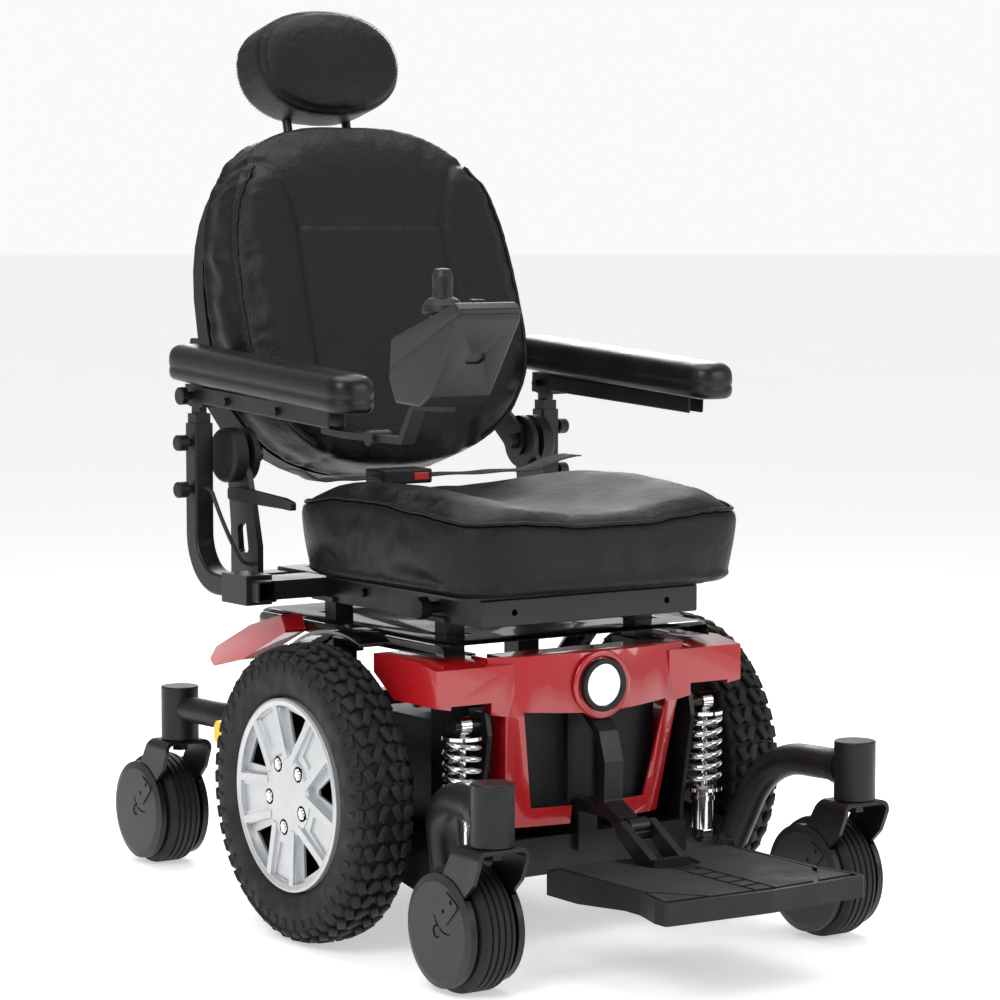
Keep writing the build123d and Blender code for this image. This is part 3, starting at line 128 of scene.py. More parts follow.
def tint(material, dark, light, size):
    """Drifts the colour between two shades over patches of the given size in metres."""
    shader = material.node_tree.nodes["Principled BSDF"]
    place = add_node(material, "TexCoord")
    cloud = add_node(material, "TexNoise", [("Scale", 1 / size), ("Detail", 4.0)],
                     [("Vector", place, "Object")])
    blend = add_node(material, "MixRGB", [("Color1", linear(dark)), ("Color2", linear(light))],
                     [("Fac", cloud, "Fac")])
    material.node_tree.links.new(blend.outputs["Color"], shader.inputs["Base Color"])


floor_mesh = bmesh.new()
bmesh.ops.create_circle(floor_mesh, cap_ends=True, segments=96, radius=60)
floor = bpy.data.objects.new("floor", bpy.data.meshes.new("floor"))
floor_mesh.to_mesh(floor.data)
floor_mesh.free()
bpy.context.collection.objects.link(floor)
paper = finish_of("seamless_paper", "F4F4F3", 0.9,
                  [("Emission Color", linear("FFFFFF")), ("Emission Strength", 0.5)])
tint(paper, "F2F2F1", "F6F6F5", 0.8)
floor.data.materials.append(paper)
floor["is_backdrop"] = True
world = bpy.data.worlds.new("studio")
bpy.context.scene.world = world
world.use_nodes = True
world.node_tree.nodes["Background"].inputs["Color"].default_value = linear("FAFAFA")
sight = add_node(world, "LightPath")
glow = add_node(world, "MapRange", [("To Min", 0.45), ("To Max", 1.0)], [("Value", sight, "Is Camera Ray")])
world.node_tree.links.new(glow.outputs["Result"], world.node_tree.nodes["Background"].inputs["Strength"])

# ---------------------------------------------------------------- chassis, arms, forks and brackets
# Welded steel tube and plate under black powder coat.  The coat is satin, with the fine orange peel
# of powder that has flowed in the oven, and a little duller where hands and dust reach it.


def wear(material, smooth, rough, size):
    """Varies the roughness between handled and untouched patches."""
    shader = material.node_tree.nodes["Principled BSDF"]
    place = add_node(material, "TexCoord")
    cloud = add_node(material, "TexNoise", [("Scale", 1 / size), ("Detail", 6.0)],
                     [("Vector", place, "Object")])
    limits = [("From Min", 0.3), ("From Max", 0.7), ("To Min", smooth), ("To Max", rough)]
    span = add_node(material, "MapRange", limits, [("Value", cloud, "Fac")])
    material.node_tree.links.new(span.outputs["Result"], shader.inputs["Roughness"])


def grain(material, size, depth, cells=False):
    """Raises a grain: size is the distance between its bumps and depth their height, in metres."""
    shader = material.node_tree.nodes["Principled BSDF"]
    place = add_node(material, "TexCoord")
    if cells:
        relief = add_node(material, "TexVoronoi", [("Scale", 1 / size)], [("Vector", place, "Object")])
        output = "Distance"
    else:
        relief = add_node(material, "TexNoise", [("Scale", 1 / size), ("Detail", 3.0)],
                          [("Vector", place, "Object")])
        output = "Fac"
    bump = add_node(material, "Bump", [("Distance", depth)], [("Height", relief, output)])
    if shader.inputs["Normal"].links:
        earlier = shader.inputs["Normal"].links[0].from_node
        material.node_tree.links.new(earlier.outputs["Normal"], bump.inputs["Normal"])
    material.node_tree.links.new(bump.outputs["Normal"], shader.inputs["Normal"])


def dress(material, *names):
    """Gives whole CAD pieces one finish."""
    for name in names:
        slots = frame["nodes"][name].data.materials
        slots.clear()
        slots.append(material)


def sides(*names):
    """The left and right node of each name."""
    return [f"{name}_{side}" for name in names for side in ("left", "right")]


powder_coat = finish_of("black_powder_coated_steel", "0E0F10", 0.4, [("Specular IOR Level", 0.4)])
tint(powder_coat, "0C0D0E", "121314", 0.06)
wear(powder_coat, 0.32, 0.5, 0.05)
grain(powder_coat, 0.0022, 0.00012)
dress(powder_coat, "chassis_frame", "rear_caster_beam", "arm_sleeves", "platform_mount", "headrest_bars",
      *sides("front_arm", "arm_bracket", "arm_post"))

# ---------------------------------------------------------------- casters
# Ribbed black tyres moulded on nylon hubs, in bent-plate forks.  A dark plastic disc with a fine
# moulded texture covers each side of the wheel.


def paint(name, materials, choose):
    """Gives each face of a CAD piece one of several finishes; choose(centre) says which."""
    mesh = frame["nodes"][name].data
    mesh.materials.clear()
    for material in materials:
        mesh.materials.append(material)
    for face in mesh.polygons:
        face.material_index = choose(face.center)


disc_plastic = finish_of("moulded_dark_grey_nylon", "18191B", 0.45)
tint(disc_plastic, "151618", "1C1D1F", 0.03)
grain(disc_plastic, 0.0012, 0.0002, cells=True)
caster_rubber = finish_of("moulded_caster_rubber", "151617", 0.62, [("Specular IOR Level", 0.35)])
tint(caster_rubber, "121314", "1B1B1C", 0.02)
grain(caster_rubber, 0.0018, 0.0002)
wear(caster_rubber, 0.5, 0.72, 0.03)
dress(caster_rubber, *sides("front_caster", "rear_caster"))
for fork in sides("front_fork", "rear_fork"):
    low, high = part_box(fork)
    middle = (low.x + high.x) / 2
    plate_reach = (high.x - low.x) / 2 - 0.0055
    wheel_top = low.z + 0.145
    paint(fork, [powder_coat, disc_plastic],
          lambda centre: int(abs(centre.x - middle) > plate_reach and centre.z < wheel_top))

# ---------------------------------------------------------------- shocks and springs
# Hard-chromed rods and bodies inside coil springs of plated wire, bright enough to mirror the floor.
chrome = finish_of("chromium_plated_steel", "DADADC", 0.1, [("Metallic", 1.0)])
wear(chrome, 0.06, 0.16, 0.02)
grain(chrome, 0.004, 0.00003)
dress(chrome, "shock_rods", *sides("shock_body", "coil_spring"))

# ---------------------------------------------------------------- inside the base
# Sealed batteries, the power module in its finned case, and painted gear motors.  The freewheel
# levers on the motors are bright yellow nylon so that a helper finds them.
battery_case = finish_of("moulded_abs_battery_case", "161719", 0.55)
grain(battery_case, 0.0015, 0.0002, cells=True)
tint(battery_case, "131416", "1A1B1D", 0.05)
motor_paint = finish_of("painted_aluminium_casting", "1B1C1E", 0.45)
tint(motor_paint, "18191B", "222326", 0.03)
grain(motor_paint, 0.003, 0.0003)
yellow_nylon = finish_of("yellow_moulded_nylon", "F2C71A", 0.38)
tint(yellow_nylon, "EDBE14", "F7D02A", 0.02)
grain(yellow_nylon, 0.002, 0.0001)
dress(battery_case, "batteries", "power_module")
dress(motor_paint, "drive_motors")
dress(yellow_nylon, *sides("freewheel_lever"))

# ---------------------------------------------------------------- drive tyres
# Foam-filled 14 inch tyres of black rubber: a round carcass with four rows of slanted chevron blocks
# across the tread and lugs that wrap over each shoulder.  Moulded rubber is matt and slightly dusty.
tyre_rubber = finish_of("moulded_tyre_rubber", "171718", 0.68, [("Specular IOR Level", 0.35)])
tint(tyre_rubber, "131314", "1E1E1F", 0.012)
grain(tyre_rubber, 0.0016, 0.0002)
wear(tyre_rubber, 0.55, 0.8, 0.02)


def shaped(name, mesh, material, smooth=True):
    """Turns finished mesh work into a piece with its place in its mesh."""
    bmesh.ops.recalc_face_normals(mesh, faces=mesh.faces[:])
    piece = bpy.data.objects.new(name, bpy.data.meshes.new(name))
    mesh.to_mesh(piece.data)
    mesh.free()
    piece.data.materials.append(material)
    for face in piece.data.polygons:
        face.use_smooth = smooth
    bpy.context.collection.objects.link(piece)
    return piece


def chain(mesh, points):
    """Vertices joined in a row, ready to be spun or extruded."""
    row = [mesh.verts.new(point) for point in points]
    return row + [mesh.edges.new(pair) for pair in zip(row, row[1:])]


def tread_block(mesh, across, turn, size, radius, lean):
    """One rubber block: its place across the tread, its slant, its size, its height and its tilt."""
    made = bmesh.ops.create_cube(mesh, size=1.0, matrix=Matrix.Diagonal((*size, 1)))
    edges = list({e for v in made["verts"] for e in v.link_edges})
    bevelled = bmesh.ops.bevel(mesh, geom=edges, offset=0.0011, segments=1, profile=0.5, affect="EDGES",
                               material=-1)
    verts = list({v for f in bevelled["faces"] for v in f.verts})
    for v in verts:
        v.co.x += 22 * v.co.y ** 2 * (1 if across > 0 else -1)
    place = (Matrix.Translation((across, 0, radius)) @ Matrix.Rotation(lean, 4, "Y")
             @ Matrix.Rotation(turn, 4, "Z"))
    bmesh.ops.transform(mesh, matrix=place, verts=verts)


tread_pitches = 48
for side in ("left", "right"):
    low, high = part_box(f"drive_tyre_{side}")
    hub = (low + high) / 2
    reach, half = (high.z - low.z) / 2, (high.x - low.x) / 2
    tyre = bmesh.new()
    bead = reach - 0.0625
    outline = [(-0.79, bead), (-0.9, bead + 0.006), (-0.985, bead + 0.022), (-1.0, bead + 0.034),
               (-0.95, reach - 0.018), (-0.8, reach - 0.0115), (-0.5, reach - 0.0085), (0, reach - 0.0075)]
    outline += [(-across, out) for across, out in reversed(outline[:-1])]
    row = chain(tyre, [(across * half, 0, out) for across, out in outline + outline[:1]])
    bmesh.ops.spin(tyre, geom=row, cent=(0, 0, 0), axis=(1, 0, 0), angle=2 * pi, steps=96, use_merge=True)
    bmesh.ops.remove_doubles(tyre, verts=tyre.verts[:], dist=1e-5)
    bmesh.ops.recalc_face_normals(tyre, faces=tyre.faces[:])
    carcass = set(tyre.verts)
    for s in (-1, 1):
        tread_block(tyre, s * 0.0078, s * 0.5, (0.0095, 0.0195, 0.009), reach - 0.0056, s * 0.05)
        tread_block(tyre, s * 0.0215, -s * 0.42, (0.0105, 0.0175, 0.009), reach - 0.0076, s * 0.25)
        tread_block(tyre, s * 0.0325, s * 0.1, (0.009, 0.0145, 0.008), reach - 0.0145, s * 0.85)
        tread_block(tyre, s * 0.0372, 0, (0.010, 0.0055, 0.004), reach - 0.0265, s * 1.45)
    blocks = [v for v in tyre.verts if v not in carcass]
    geometry = (blocks + list({e for v in blocks for e in v.link_edges})
                + list({f for v in blocks for f in v.link_faces}))
    bmesh.ops.spin(tyre, geom=geometry, cent=(0, 0, 0), axis=(1, 0, 0), angle=2 * pi * (1 - 1 / tread_pitches),
                   steps=tread_pitches - 1, use_duplicate=True)
    bmesh.ops.translate(tyre, verts=tyre.verts[:], vec=hub)
    tread = shaped(f"drive_tread_{side}", tyre, tyre_rubber)
    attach(tread, f"drive_wheel_{side}")
    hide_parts(f"drive_tyre_{side}")

# ---------------------------------------------------------------- drive wheel covers
# ABS covers sprayed silver: fine flake under a satin lacquer.  The window floors behind the arms and the walls
# round each nut are painted black as shade, and five domed chrome nuts hold each wheel.
silver_paint = finish_of("silver_lacquered_abs", "C6C8CA", 0.34, [("Metallic", 0.55)])
tint(silver_paint, "BFC1C3", "CDCFD1", 0.02)
grain(silver_paint, 0.0012, 0.00005)
wear(silver_paint, 0.28, 0.42, 0.03)
# Painted shade: flat black laid on the recess floors and the nut-well walls, standing in for the shadow inside
# them.
painted_recess_shade = finish_of("black_painted_recess_shade", "101112", 0.5)
grain(painted_recess_shade, 0.0015, 0.0002)
nut_ring, nut_reach, well_inner, dish_depth = 0.039, 0.0101, 0.0082, 0.0135
for side, s in (("left", 1), ("right", -1)):
    low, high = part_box(f"wheel_trim_{side}")
    hub = (low + high) / 2
    outer = high.x if s > 0 else -low.x

    def trim_finish(centre):
        depth = outer - s * centre.x
        offset = Vector((0, centre.y - hub.y, centre.z - hub.z))
        beside = min((offset - Vector((0, nut_ring * sin(a), nut_ring * cos(a)))).length
                     for a in [radians(28 + 72 * k) for k in range(5)])
        # Nut-well walls, and faces deeper than dish_depth inside the cover, get the black painted shade; the
        # nuts are chrome.
        if beside < nut_reach:
            return 2 if beside < well_inner else 1
        return 1 if depth > dish_depth and offset.length < 0.105 else 0

    paint(f"wheel_trim_{side}", [silver_paint, painted_recess_shade, chrome], trim_finish)

# ---------------------------------------------------------------- red bodywork
# Injection-moulded ABS shroud, side wings and rear fenders in glossy red under clear lacquer, deep
# enough in gloss to carry sharp reflections, with a faint long wave from the moulding.
red_gloss = finish_of("glossy_red_abs", "B0141B", 0.28, [("Coat Weight", 1.0), ("Coat Roughness", 0.04)])
tint(red_gloss, "A81218", "B8171F", 0.09)
grain(red_gloss, 0.05, 0.0004)
grain(red_gloss, 0.003, 0.00003)


def moulded(node, width, material, body):
    """A copy of a CAD shell with its sharp rims rounded, as they leave the mould."""
    mesh = bmesh.new()
    mesh.from_mesh(frame["nodes"][node].data)
    bmesh.ops.remove_doubles(mesh, verts=mesh.verts[:], dist=1e-5)
    bmesh.ops.dissolve_limit(mesh, angle_limit=radians(1.5), verts=mesh.verts[:], edges=mesh.edges[:])
    piece = bpy.data.objects.new(f"{node}_moulding", bpy.data.meshes.new(f"{node}_moulding"))
    mesh.to_mesh(piece.data)
    mesh.free()
    for face in piece.data.polygons:
        face.use_smooth = True
    piece.data.materials.append(material)
    bpy.context.collection.objects.link(piece)
    rims = piece.modifiers.new("rounded_rims", "BEVEL")
    rims.width = width
    rims.segments = 3
    rims.limit_method = "ANGLE"
    rims.angle_limit = radians(12)
    rims.harden_normals = True
    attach(piece, body)
    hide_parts(node)
    return piece


moulded("body_panels", 0.004, red_gloss, "base")

# ---------------------------------------------------------------- top cover
# Glossy black ABS lid over the batteries, with an arch over each drive wheel.
black_gloss = finish_of("glossy_black_abs", "08090A", 0.14, [("Coat Weight", 1.0), ("Coat Roughness", 0.03)])
tint(black_gloss, "070708", "0C0D0E", 0.08)
grain(black_gloss, 0.05, 0.0004)
moulded("top_cover", 0.003, black_gloss, "base")

# ---------------------------------------------------------------- small black mouldings
# Front panel, foot platform, recline housings, knobs and buckle: black ABS from a spark-eroded mould,
# which leaves a fine leathery texture that scatters the light.
black_abs = finish_of("textured_black_abs", "0D0E0F", 0.5, [("Specular IOR Level", 0.4)])
tint(black_abs, "0B0C0D", "111213", 0.04)
grain(black_abs, 0.0014, 0.00025, cells=True)
wear(black_abs, 0.42, 0.58, 0.04)
dress(black_abs, "front_panel", "foot_platform", "seat_hardware", "recline_covers", "belt_buckle", "back_shell",
      "recline_lever", "stick_gimbal")

# ---------------------------------------------------------------- medallion
# Plain domed disc of polished chrome in a black ring, with a raised red ring moulded round it.
low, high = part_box("badge")
badge_centre = (low + high) / 2
paint("badge", [chrome, black_abs],
      lambda centre: int((Vector((centre.x, 0, centre.z - badge_centre.z))).length > 0.0245))
ring = bmesh.new()
section = [(0.0365 + 0.0042 * cos(a), 0.0022 * sin(a)) for a in [2 * pi * k / 12 for k in range(12)]]
row = chain(ring, [(out, badge_centre.y + 0.0035 + rise, 0) for out, rise in section + section[:1]])
bmesh.ops.spin(ring, geom=row, cent=(0, 0, 0), axis=(0, 1, 0), angle=2 * pi, steps=72, use_merge=True)
bmesh.ops.remove_doubles(ring, verts=ring.verts[:], dist=1e-5)
bmesh.ops.translate(ring, verts=ring.verts[:], vec=(0, 0, badge_centre.z))
badge_ring = shaped("badge_ring", ring, red_gloss)
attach(badge_ring, "base")

# ---------------------------------------------------------------- foot mats
# Black rubber mats with a fine ribbed tread, pressed into the platform.
mat_rubber = finish_of("ribbed_mat_rubber", "1F2021", 0.7)
tint(mat_rubber, "1A1B1C", "252627", 0.03)
grain(mat_rubber, 0.003, 0.0006, cells=True)
wear(mat_rubber, 0.55, 0.8, 0.04)
dress(mat_rubber, "foot_mats", "control_cable")

# ---------------------------------------------------------------- seat frame
# Steel channel and tube under a warm black powder coat, satin and a little textured.
grey_coat = finish_of("dark_grey_powder_coated_steel", "161614", 0.4)
tint(grey_coat, "131312", "1B1B18", 0.05)
grain(grey_coat, 0.0022, 0.00012)
wear(grey_coat, 0.32, 0.48, 0.05)
dress(grey_coat, "seat_frame")

# ---------------------------------------------------------------- controller
# Two-part housing of near-black ABS with a satin texture, a rubber joystick and soft round buttons.
grey_abs = finish_of("satin_dark_grey_abs", "17181A", 0.38)
tint(grey_abs, "141517", "1B1C1E", 0.04)
grain(grey_abs, 0.0013, 0.00015, cells=True)
moulded("controller_base", 0.003, grey_abs, "armrest_right")
moulded("controller_top", 0.0025, grey_abs, "armrest_right")
stick_rubber = finish_of("soft_touch_joystick_rubber", "141517", 0.5)
tint(stick_rubber, "111214", "1A1B1D", 0.01)
grain(stick_rubber, 0.0012, 0.0001)
dress(stick_rubber, "joystick", "power_button", "horn_button", "speed_dial")
red_nylon = finish_of("red_moulded_nylon", "C3201C", 0.4)
tint(red_nylon, "BA1C18", "CC2722", 0.004)
grain(red_nylon, 0.001, 0.00008)
dress(red_nylon, "belt_button")

# ---------------------------------------------------------------- seat cushion
# Contoured foam under black vinyl: higher bolsters along both sides, a dip in the middle of the front
# edge, and a welt sewn round the top.  The vinyl has a fine grain and a few creases on its sides.
vinyl = finish_of("grained_black_vinyl", "0A0B0B", 0.42, [("Specular IOR Level", 0.28)])
tint(vinyl, "090A0A", "0E0F0F", 0.05)
wear(vinyl, 0.36, 0.5, 0.06)
grain(vinyl, 0.012, 0.0012)
grain(vinyl, 0.0016, 0.0004, cells=True)
thread = finish_of("bonded_nylon_thread", "17181A", 0.6)
tint(thread, "131416", "1E1F22", 0.002)
grain(thread, 0.0006, 0.0001)
stitch_pitch = 0.0045


def foam_block(cuts):
    """A finely divided cube from -1 to 1 on each axis, to be shaped into a pad."""
    mesh = bmesh.new()
    bmesh.ops.create_cube(mesh, size=2.0)
    bmesh.ops.subdivide_edges(mesh, edges=mesh.edges[:], cuts=cuts, use_grid_fill=True)
    return mesh


def round_off(a, b, c, squareness, edge):
    """Rounds the cube's plan to a superellipse, and its rims with a second one."""
    reach = max(abs(a), abs(b))
    if reach > 1e-6:
        pull = reach / (abs(a) ** squareness + abs(b) ** squareness) ** (1 / squareness)
        a, b = a * pull, b * pull
    most = max(reach, abs(c))
    if most > 1e-6:
        pull = most / (reach ** edge + abs(c) ** edge) ** (1 / edge)
        a, b, c = a * pull, b * pull, c * pull
    return a, b, c


def ease(value, low, high):
    """Rises smoothly from 0 to 1 as value goes from low to high."""
    t = min(1.0, max(0.0, (value - low) / (high - low)))
    return t * t * (3 - 2 * t)


def apply_modifiers(piece):
    """Makes the piece's modified shape its own mesh."""
    bpy.context.view_layer.update()
    graph = bpy.context.evaluated_depsgraph_get()
    shape = bpy.data.meshes.new_from_object(piece.evaluated_get(graph))
    piece.modifiers.clear()
    piece.data = shape


def swell(piece, voxel, cap, frames=20):
    """Remeshes a pad and blows its cover up a little by cloth simulation, no point further than cap(place)."""
    remesh = piece.modifiers.new("remesh", "REMESH")
    remesh.mode = "VOXEL"
    remesh.voxel_size = voxel
    apply_modifiers(piece)
    count = len(piece.data.vertices)
    start = np.empty(count * 3)
    piece.data.vertices.foreach_get("co", start)
    cloth = piece.modifiers.new("cover", "CLOTH")
    cloth.settings.use_pressure = True
    cloth.settings.uniform_pressure_force = 4.0
    cloth.settings.effector_weights.gravity = 0.0
    cloth.point_cache.frame_start = 1
    cloth.point_cache.frame_end = frames
    for step in range(1, frames + 1):
        bpy.context.scene.frame_set(step)
    apply_modifiers(piece)
    end = np.empty(count * 3)
    piece.data.vertices.foreach_get("co", end)
    start, end = start.reshape(-1, 3), end.reshape(-1, 3)
    move = end - start
    length = np.maximum(np.linalg.norm(move, axis=1), 1e-9)
    allowed = np.array([cap(place) for place in start])
    end = start + move * np.minimum(1.0, allowed / length)[:, None]
    piece.data.vertices.foreach_set("co", end.ravel())
    bpy.context.scene.frame_set(1)
    relax = piece.modifiers.new("relax", "SMOOTH")
    relax.iterations = 6
    relax.factor = 0.5
    apply_modifiers(piece)
    for face in piece.data.polygons:
        face.use_smooth = True


def flowing(points, per_span=10):
    """Points along a smooth line through the given points."""
    spots = [Vector(point) for point in points]
    spots = [2 * spots[0] - spots[1]] + spots + [2 * spots[-1] - spots[-2]]
    line = []
    for a, b, c, d in zip(spots, spots[1:], spots[2:], spots[3:]):
        for step in range(per_span):
            t = step / per_span
            line.append(0.5 * (2 * b + (c - a) * t + (2 * a - 5 * b + 4 * c - d) * t * t
                               + (3 * b - a - 3 * c + d) * t ** 3))
    return line + [spots[-2]]


def skin_of(piece):
    """The piece's surface, ready to be searched for its nearest places."""
    return BVHTree.FromPolygons([v.co for v in piece.data.vertices], [p.vertices for p in piece.data.polygons])


def laid_on(piece, points, look):
    """Each point's landing place and surface normal on the piece, looking along look."""
    tree = skin_of(piece)
    landed = []
    for point in points:
        place, normal, _, _ = tree.ray_cast(Vector(point) - look * 0.3, look)
        if place is None:
            place, normal, _, _ = tree.find_nearest(Vector(point))
        landed.append((place, normal))
    return landed


def press_seam(piece, landed, width, depth):
    """Pulls the cover in along a seam."""
    count = len(piece.data.vertices)
    places, normals = np.empty(count * 3), np.empty(count * 3)
    piece.data.vertices.foreach_get("co", places)
    piece.data.vertices.foreach_get("normal", normals)
    places, normals = places.reshape(-1, 3), normals.reshape(-1, 3)
    near = np.full(count, 1.0)
    for (a, _), (b, _) in zip(landed, landed[1:]):
        start, run = np.array(a), np.array(b - a)
        along = np.clip((places - start) @ run / max(run @ run, 1e-12), 0, 1)
        near = np.minimum(near, np.linalg.norm(places - start - along[:, None] * run, axis=1))
    places -= normals * (depth * np.exp(-(near / width) ** 2))[:, None]
    piece.data.vertices.foreach_set("co", places.ravel())
    piece.data.update()


def piping(name, landed, radius, material, body, lift=0.3, closed=False):
    """A thin vinyl-covered cord sewn along a seam."""
    line = bpy.data.curves.new(name, "CURVE")
    line.dimensions = "3D"
    line.bevel_depth = radius
    line.bevel_resolution = 3
    line.use_fill_caps = True
    spline = line.splines.new("POLY")
    spline.points.add(len(landed) - 1)
    for point, (place, normal) in zip(spline.points, landed):
        point.co = (*(place + normal * radius * lift), 1)
    spline.use_cyclic_u = closed
    line.materials.append(material)
    piece = bpy.data.objects.new(name, line)
    bpy.context.collection.objects.link(piece)
    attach(piece, body)
    return piece


def stitching(name, landed, pitch, body):
    """A row of separate thread stitches lying on the cover."""
    row = bmesh.new()
    walked, due = 0.0, 0.0
    for (a, normal), (b, _) in zip(landed, landed[1:]):
        step = (b - a).length
        while due <= walked + step and step > 1e-7:
            place = a.lerp(b, (due - walked) / step) + normal * 0.00025
            along = (b - a).normalized()
            side = normal.cross(along).normalized()
            turn = Matrix((along, side, normal)).transposed().to_4x4()
            size = Matrix.Diagonal((pitch * 0.33, 0.00055, 0.0004, 1))
            bmesh.ops.create_icosphere(row, subdivisions=1, radius=1.0,
                                       matrix=Matrix.Translation(place) @ turn @ size)
            due += pitch
        walked += step
    piece = shaped(name, row, thread)
    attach(piece, body)
    return piece


def crease(piece, centre, run, spread, spacing, depth):
    """Small folds in the cover: ridges square to run, dying away with distance from centre."""
    count = len(piece.data.vertices)
    places, normals = np.empty(count * 3), np.empty(count * 3)
    piece.data.vertices.foreach_get("co", places)
    piece.data.vertices.foreach_get("normal", normals)
    places, normals = places.reshape(-1, 3), normals.reshape(-1, 3)
    offset = places - np.array(centre)
    fade = np.exp(-(np.linalg.norm(offset, axis=1) / spread) ** 2)
    wave = np.sin(2 * pi * (offset @ np.array(Vector(run).normalized())) / spacing)
    places += normals * (depth * wave * fade)[:, None]
    piece.data.vertices.foreach_set("co", places.ravel())
    piece.data.update()


def soften(piece):
    """One round of subdivision on the finished cover."""
    rounds = piece.modifiers.new("rounds", "SUBSURF")
    rounds.levels = rounds.render_levels = 1


low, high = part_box("seat_cushion")
seat_middle = (low + high) / 2
seat_half = (high - low) / 2
side_height = ([0, 0.25, 0.5, 0.75, 1], [0.094, 0.104, 0.111, 0.108, 0.094])
valley_height = ([0, 0.5, 0.8, 1], [0.085, 0.080, 0.086, 0.096])


def seat_top(a, b):
    """Height of the cushion's top over its base, a across and b from front -1 to rear 1."""
    t = (b + 1) / 2
    side, valley = np.interp(t, *side_height), np.interp(t, *valley_height)
    return valley + (side - valley) * ease(abs(a), 0.1, 0.72)


front_square, rear_square = 7, 9
foam = foam_block(30)
for v in foam.verts:
    a, b, c = round_off(*v.co, front_square if v.co.y < 0 else rear_square, 15)
    level = (c + 1) / 2
    tuck = (1 - 0.05 * (1 - level) ** 2) * 0.995
    v.co = (seat_middle.x + a * seat_half.x * tuck, seat_middle.y + b * seat_half.y * tuck,
            low.z + 0.001 + level * seat_top(a, b))
seat_pad = shaped("seat_pad", foam, vinyl)
seat_base = low.z
swell(seat_pad, 0.0055, lambda place: 0.0015 if place[2] < seat_base + 0.012 else 0.008)
outline = []
for k in range(160):
    angle = 2 * pi * k / 160
    a, b = cos(angle), sin(angle)
    square = front_square if b < 0 else rear_square
    pull = 0.985 / (abs(a) ** square + abs(b) ** square) ** (1 / square)
    a, b = a * pull, b * pull
    outline.append((seat_middle.x + a * seat_half.x, seat_middle.y + b * seat_half.y,
                    low.z + seat_top(a, b) + 0.004))
outline.append(outline[0])
seat_tree = skin_of(seat_pad)
seat_edge = [seat_tree.find_nearest(Vector(point))[:2] for point in outline]
press_seam(seat_pad, seat_edge, 0.006, 0.0022)
crease(seat_pad, (-seat_half.x, seat_middle.y + 0.03, seat_base + 0.06), (0, 0.8, 0.5), 0.05, 0.03, 0.0016)
crease(seat_pad, (seat_half.x, seat_middle.y + 0.05, seat_base + 0.06), (0, 0.7, -0.5), 0.045, 0.028, 0.0013)
crease(seat_pad, (0.02, low.y, seat_base + 0.05), (0.9, 0, 0.3), 0.06, 0.05, 0.0009)
seat_sewn = [seat_tree.find_nearest(place + Vector((0, 0, -0.0065)))[:2] for place, _ in seat_edge]
soften(seat_pad)
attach(seat_pad, "base")
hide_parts("seat_cushion")
piping("seat_welt", seat_edge[:-1], 0.0023, vinyl, "base", lift=0.2, closed=True)
stitching("seat_stitches", seat_sewn, stitch_pitch, "base")

# ---------------------------------------------------------------- back cushion
# Egg-shaped foam back under the same vinyl.  The face is hollowed a little between two bolsters, which
# curved seams set off; a level seam joins them high up, and a welt runs down each side of the face.
lean_axis = Vector(joints["headrest_height"]["axis"]).normalized()
rear_axis = Vector((0, lean_axis.z, -lean_axis.y))
back_foot = Vector(joints["back_recline"]["pos_m"]) + Vector((0, -0.057, -0.025))
low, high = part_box("back_cushion")
back_half = (high.x - low.x) / 2
back_waist, back_above, back_below, back_depth = 0.205, 0.261, 0.201, 0.095


def on_back(x, along, depth):
    """A point of the back: across, up along its face from its foot, and towards the rear."""
    return back_foot + Vector((x, 0, 0)) + lean_axis * along + rear_axis * depth


top_square, foot_square = 3, 2.45
foam = foam_block(30)
for v in foam.verts:
    a, b, c = round_off(*v.co, top_square if v.co.y > 0 else foot_square, 16)
    bolster = ease(abs(a), 0.35, 0.8)
    front = 0.011 * (1 - bolster) * (1 - ease(b, 0.55, 0.95)) - 0.006 * cos(pi * min(1, abs(b + 0.35)))
    crown = 0.022 * ease(b, 0.6, 1.0)
    face = front + crown
    depth = face + (back_depth - 0.002 - face) * (c + 1) / 2
    along = back_waist + b * (back_above if b > 0 else back_below)
    v.co = on_back(a * back_half, along, depth)
back_pad = shaped("back_pad", foam, vinyl)


def back_cap(place):
    """The cover may swell less near the shell behind it."""
    behind = (Vector(place) - back_foot).dot(rear_axis)
    return 0.001 if behind > back_depth - 0.012 else 0.007


swell(back_pad, 0.0055, back_cap)
princess = [(0.100, 0.012), (0.106, 0.07), (0.112, 0.14), (0.113, 0.2), (0.110, 0.26), (0.108, 0.3),
            (0.110, 0.335), (0.116, 0.362), (0.127, 0.388), (0.145, 0.405), (0.166, 0.407), (0.180, 0.396)]
for s, side in ((-1, "right"), (1, "left")):
    curve = flowing([(s * x, along, 0) for x, along in princess])
    landed = laid_on(back_pad, [on_back(p.x, p.y, 0) for p in curve], rear_axis)
    press_seam(back_pad, landed, 0.006, 0.0038)
    beside = laid_on(back_pad, [on_back(p.x + s * 0.0045, p.y, 0) for p in curve], rear_axis)
    stitching(f"back_stitches_{side}", beside, stitch_pitch, "back")
    back_tree = skin_of(back_pad)
    edge = []
    for k in range(61):
        turn = radians(-58 + 106 * k / 60)
        square = top_square if turn > 0 else foot_square
        a, b = cos(turn) ** (2 / square), (1 if turn > 0 else -1) * abs(sin(turn)) ** (2 / square)
        spot = on_back(s * a * back_half, back_waist + b * (back_above if b > 0 else back_below), -0.004)
        edge.append(back_tree.find_nearest(spot)[:2])
    press_seam(back_pad, edge, 0.005, 0.002)
    piping(f"back_welt_{side}", edge, 0.0024, vinyl, "back", lift=-0.1)
level = [(x, 0.3225, 0) for x in np.linspace(-0.107, 0.107, 40)]
landed = laid_on(back_pad, [on_back(*p) for p in level], rear_axis)
press_seam(back_pad, landed, 0.0045, 0.0034)
beside = laid_on(back_pad, [on_back(x, along + 0.0045, 0) for x, along, _ in level], rear_axis)
stitching("back_stitches_level", beside, stitch_pitch, "back")
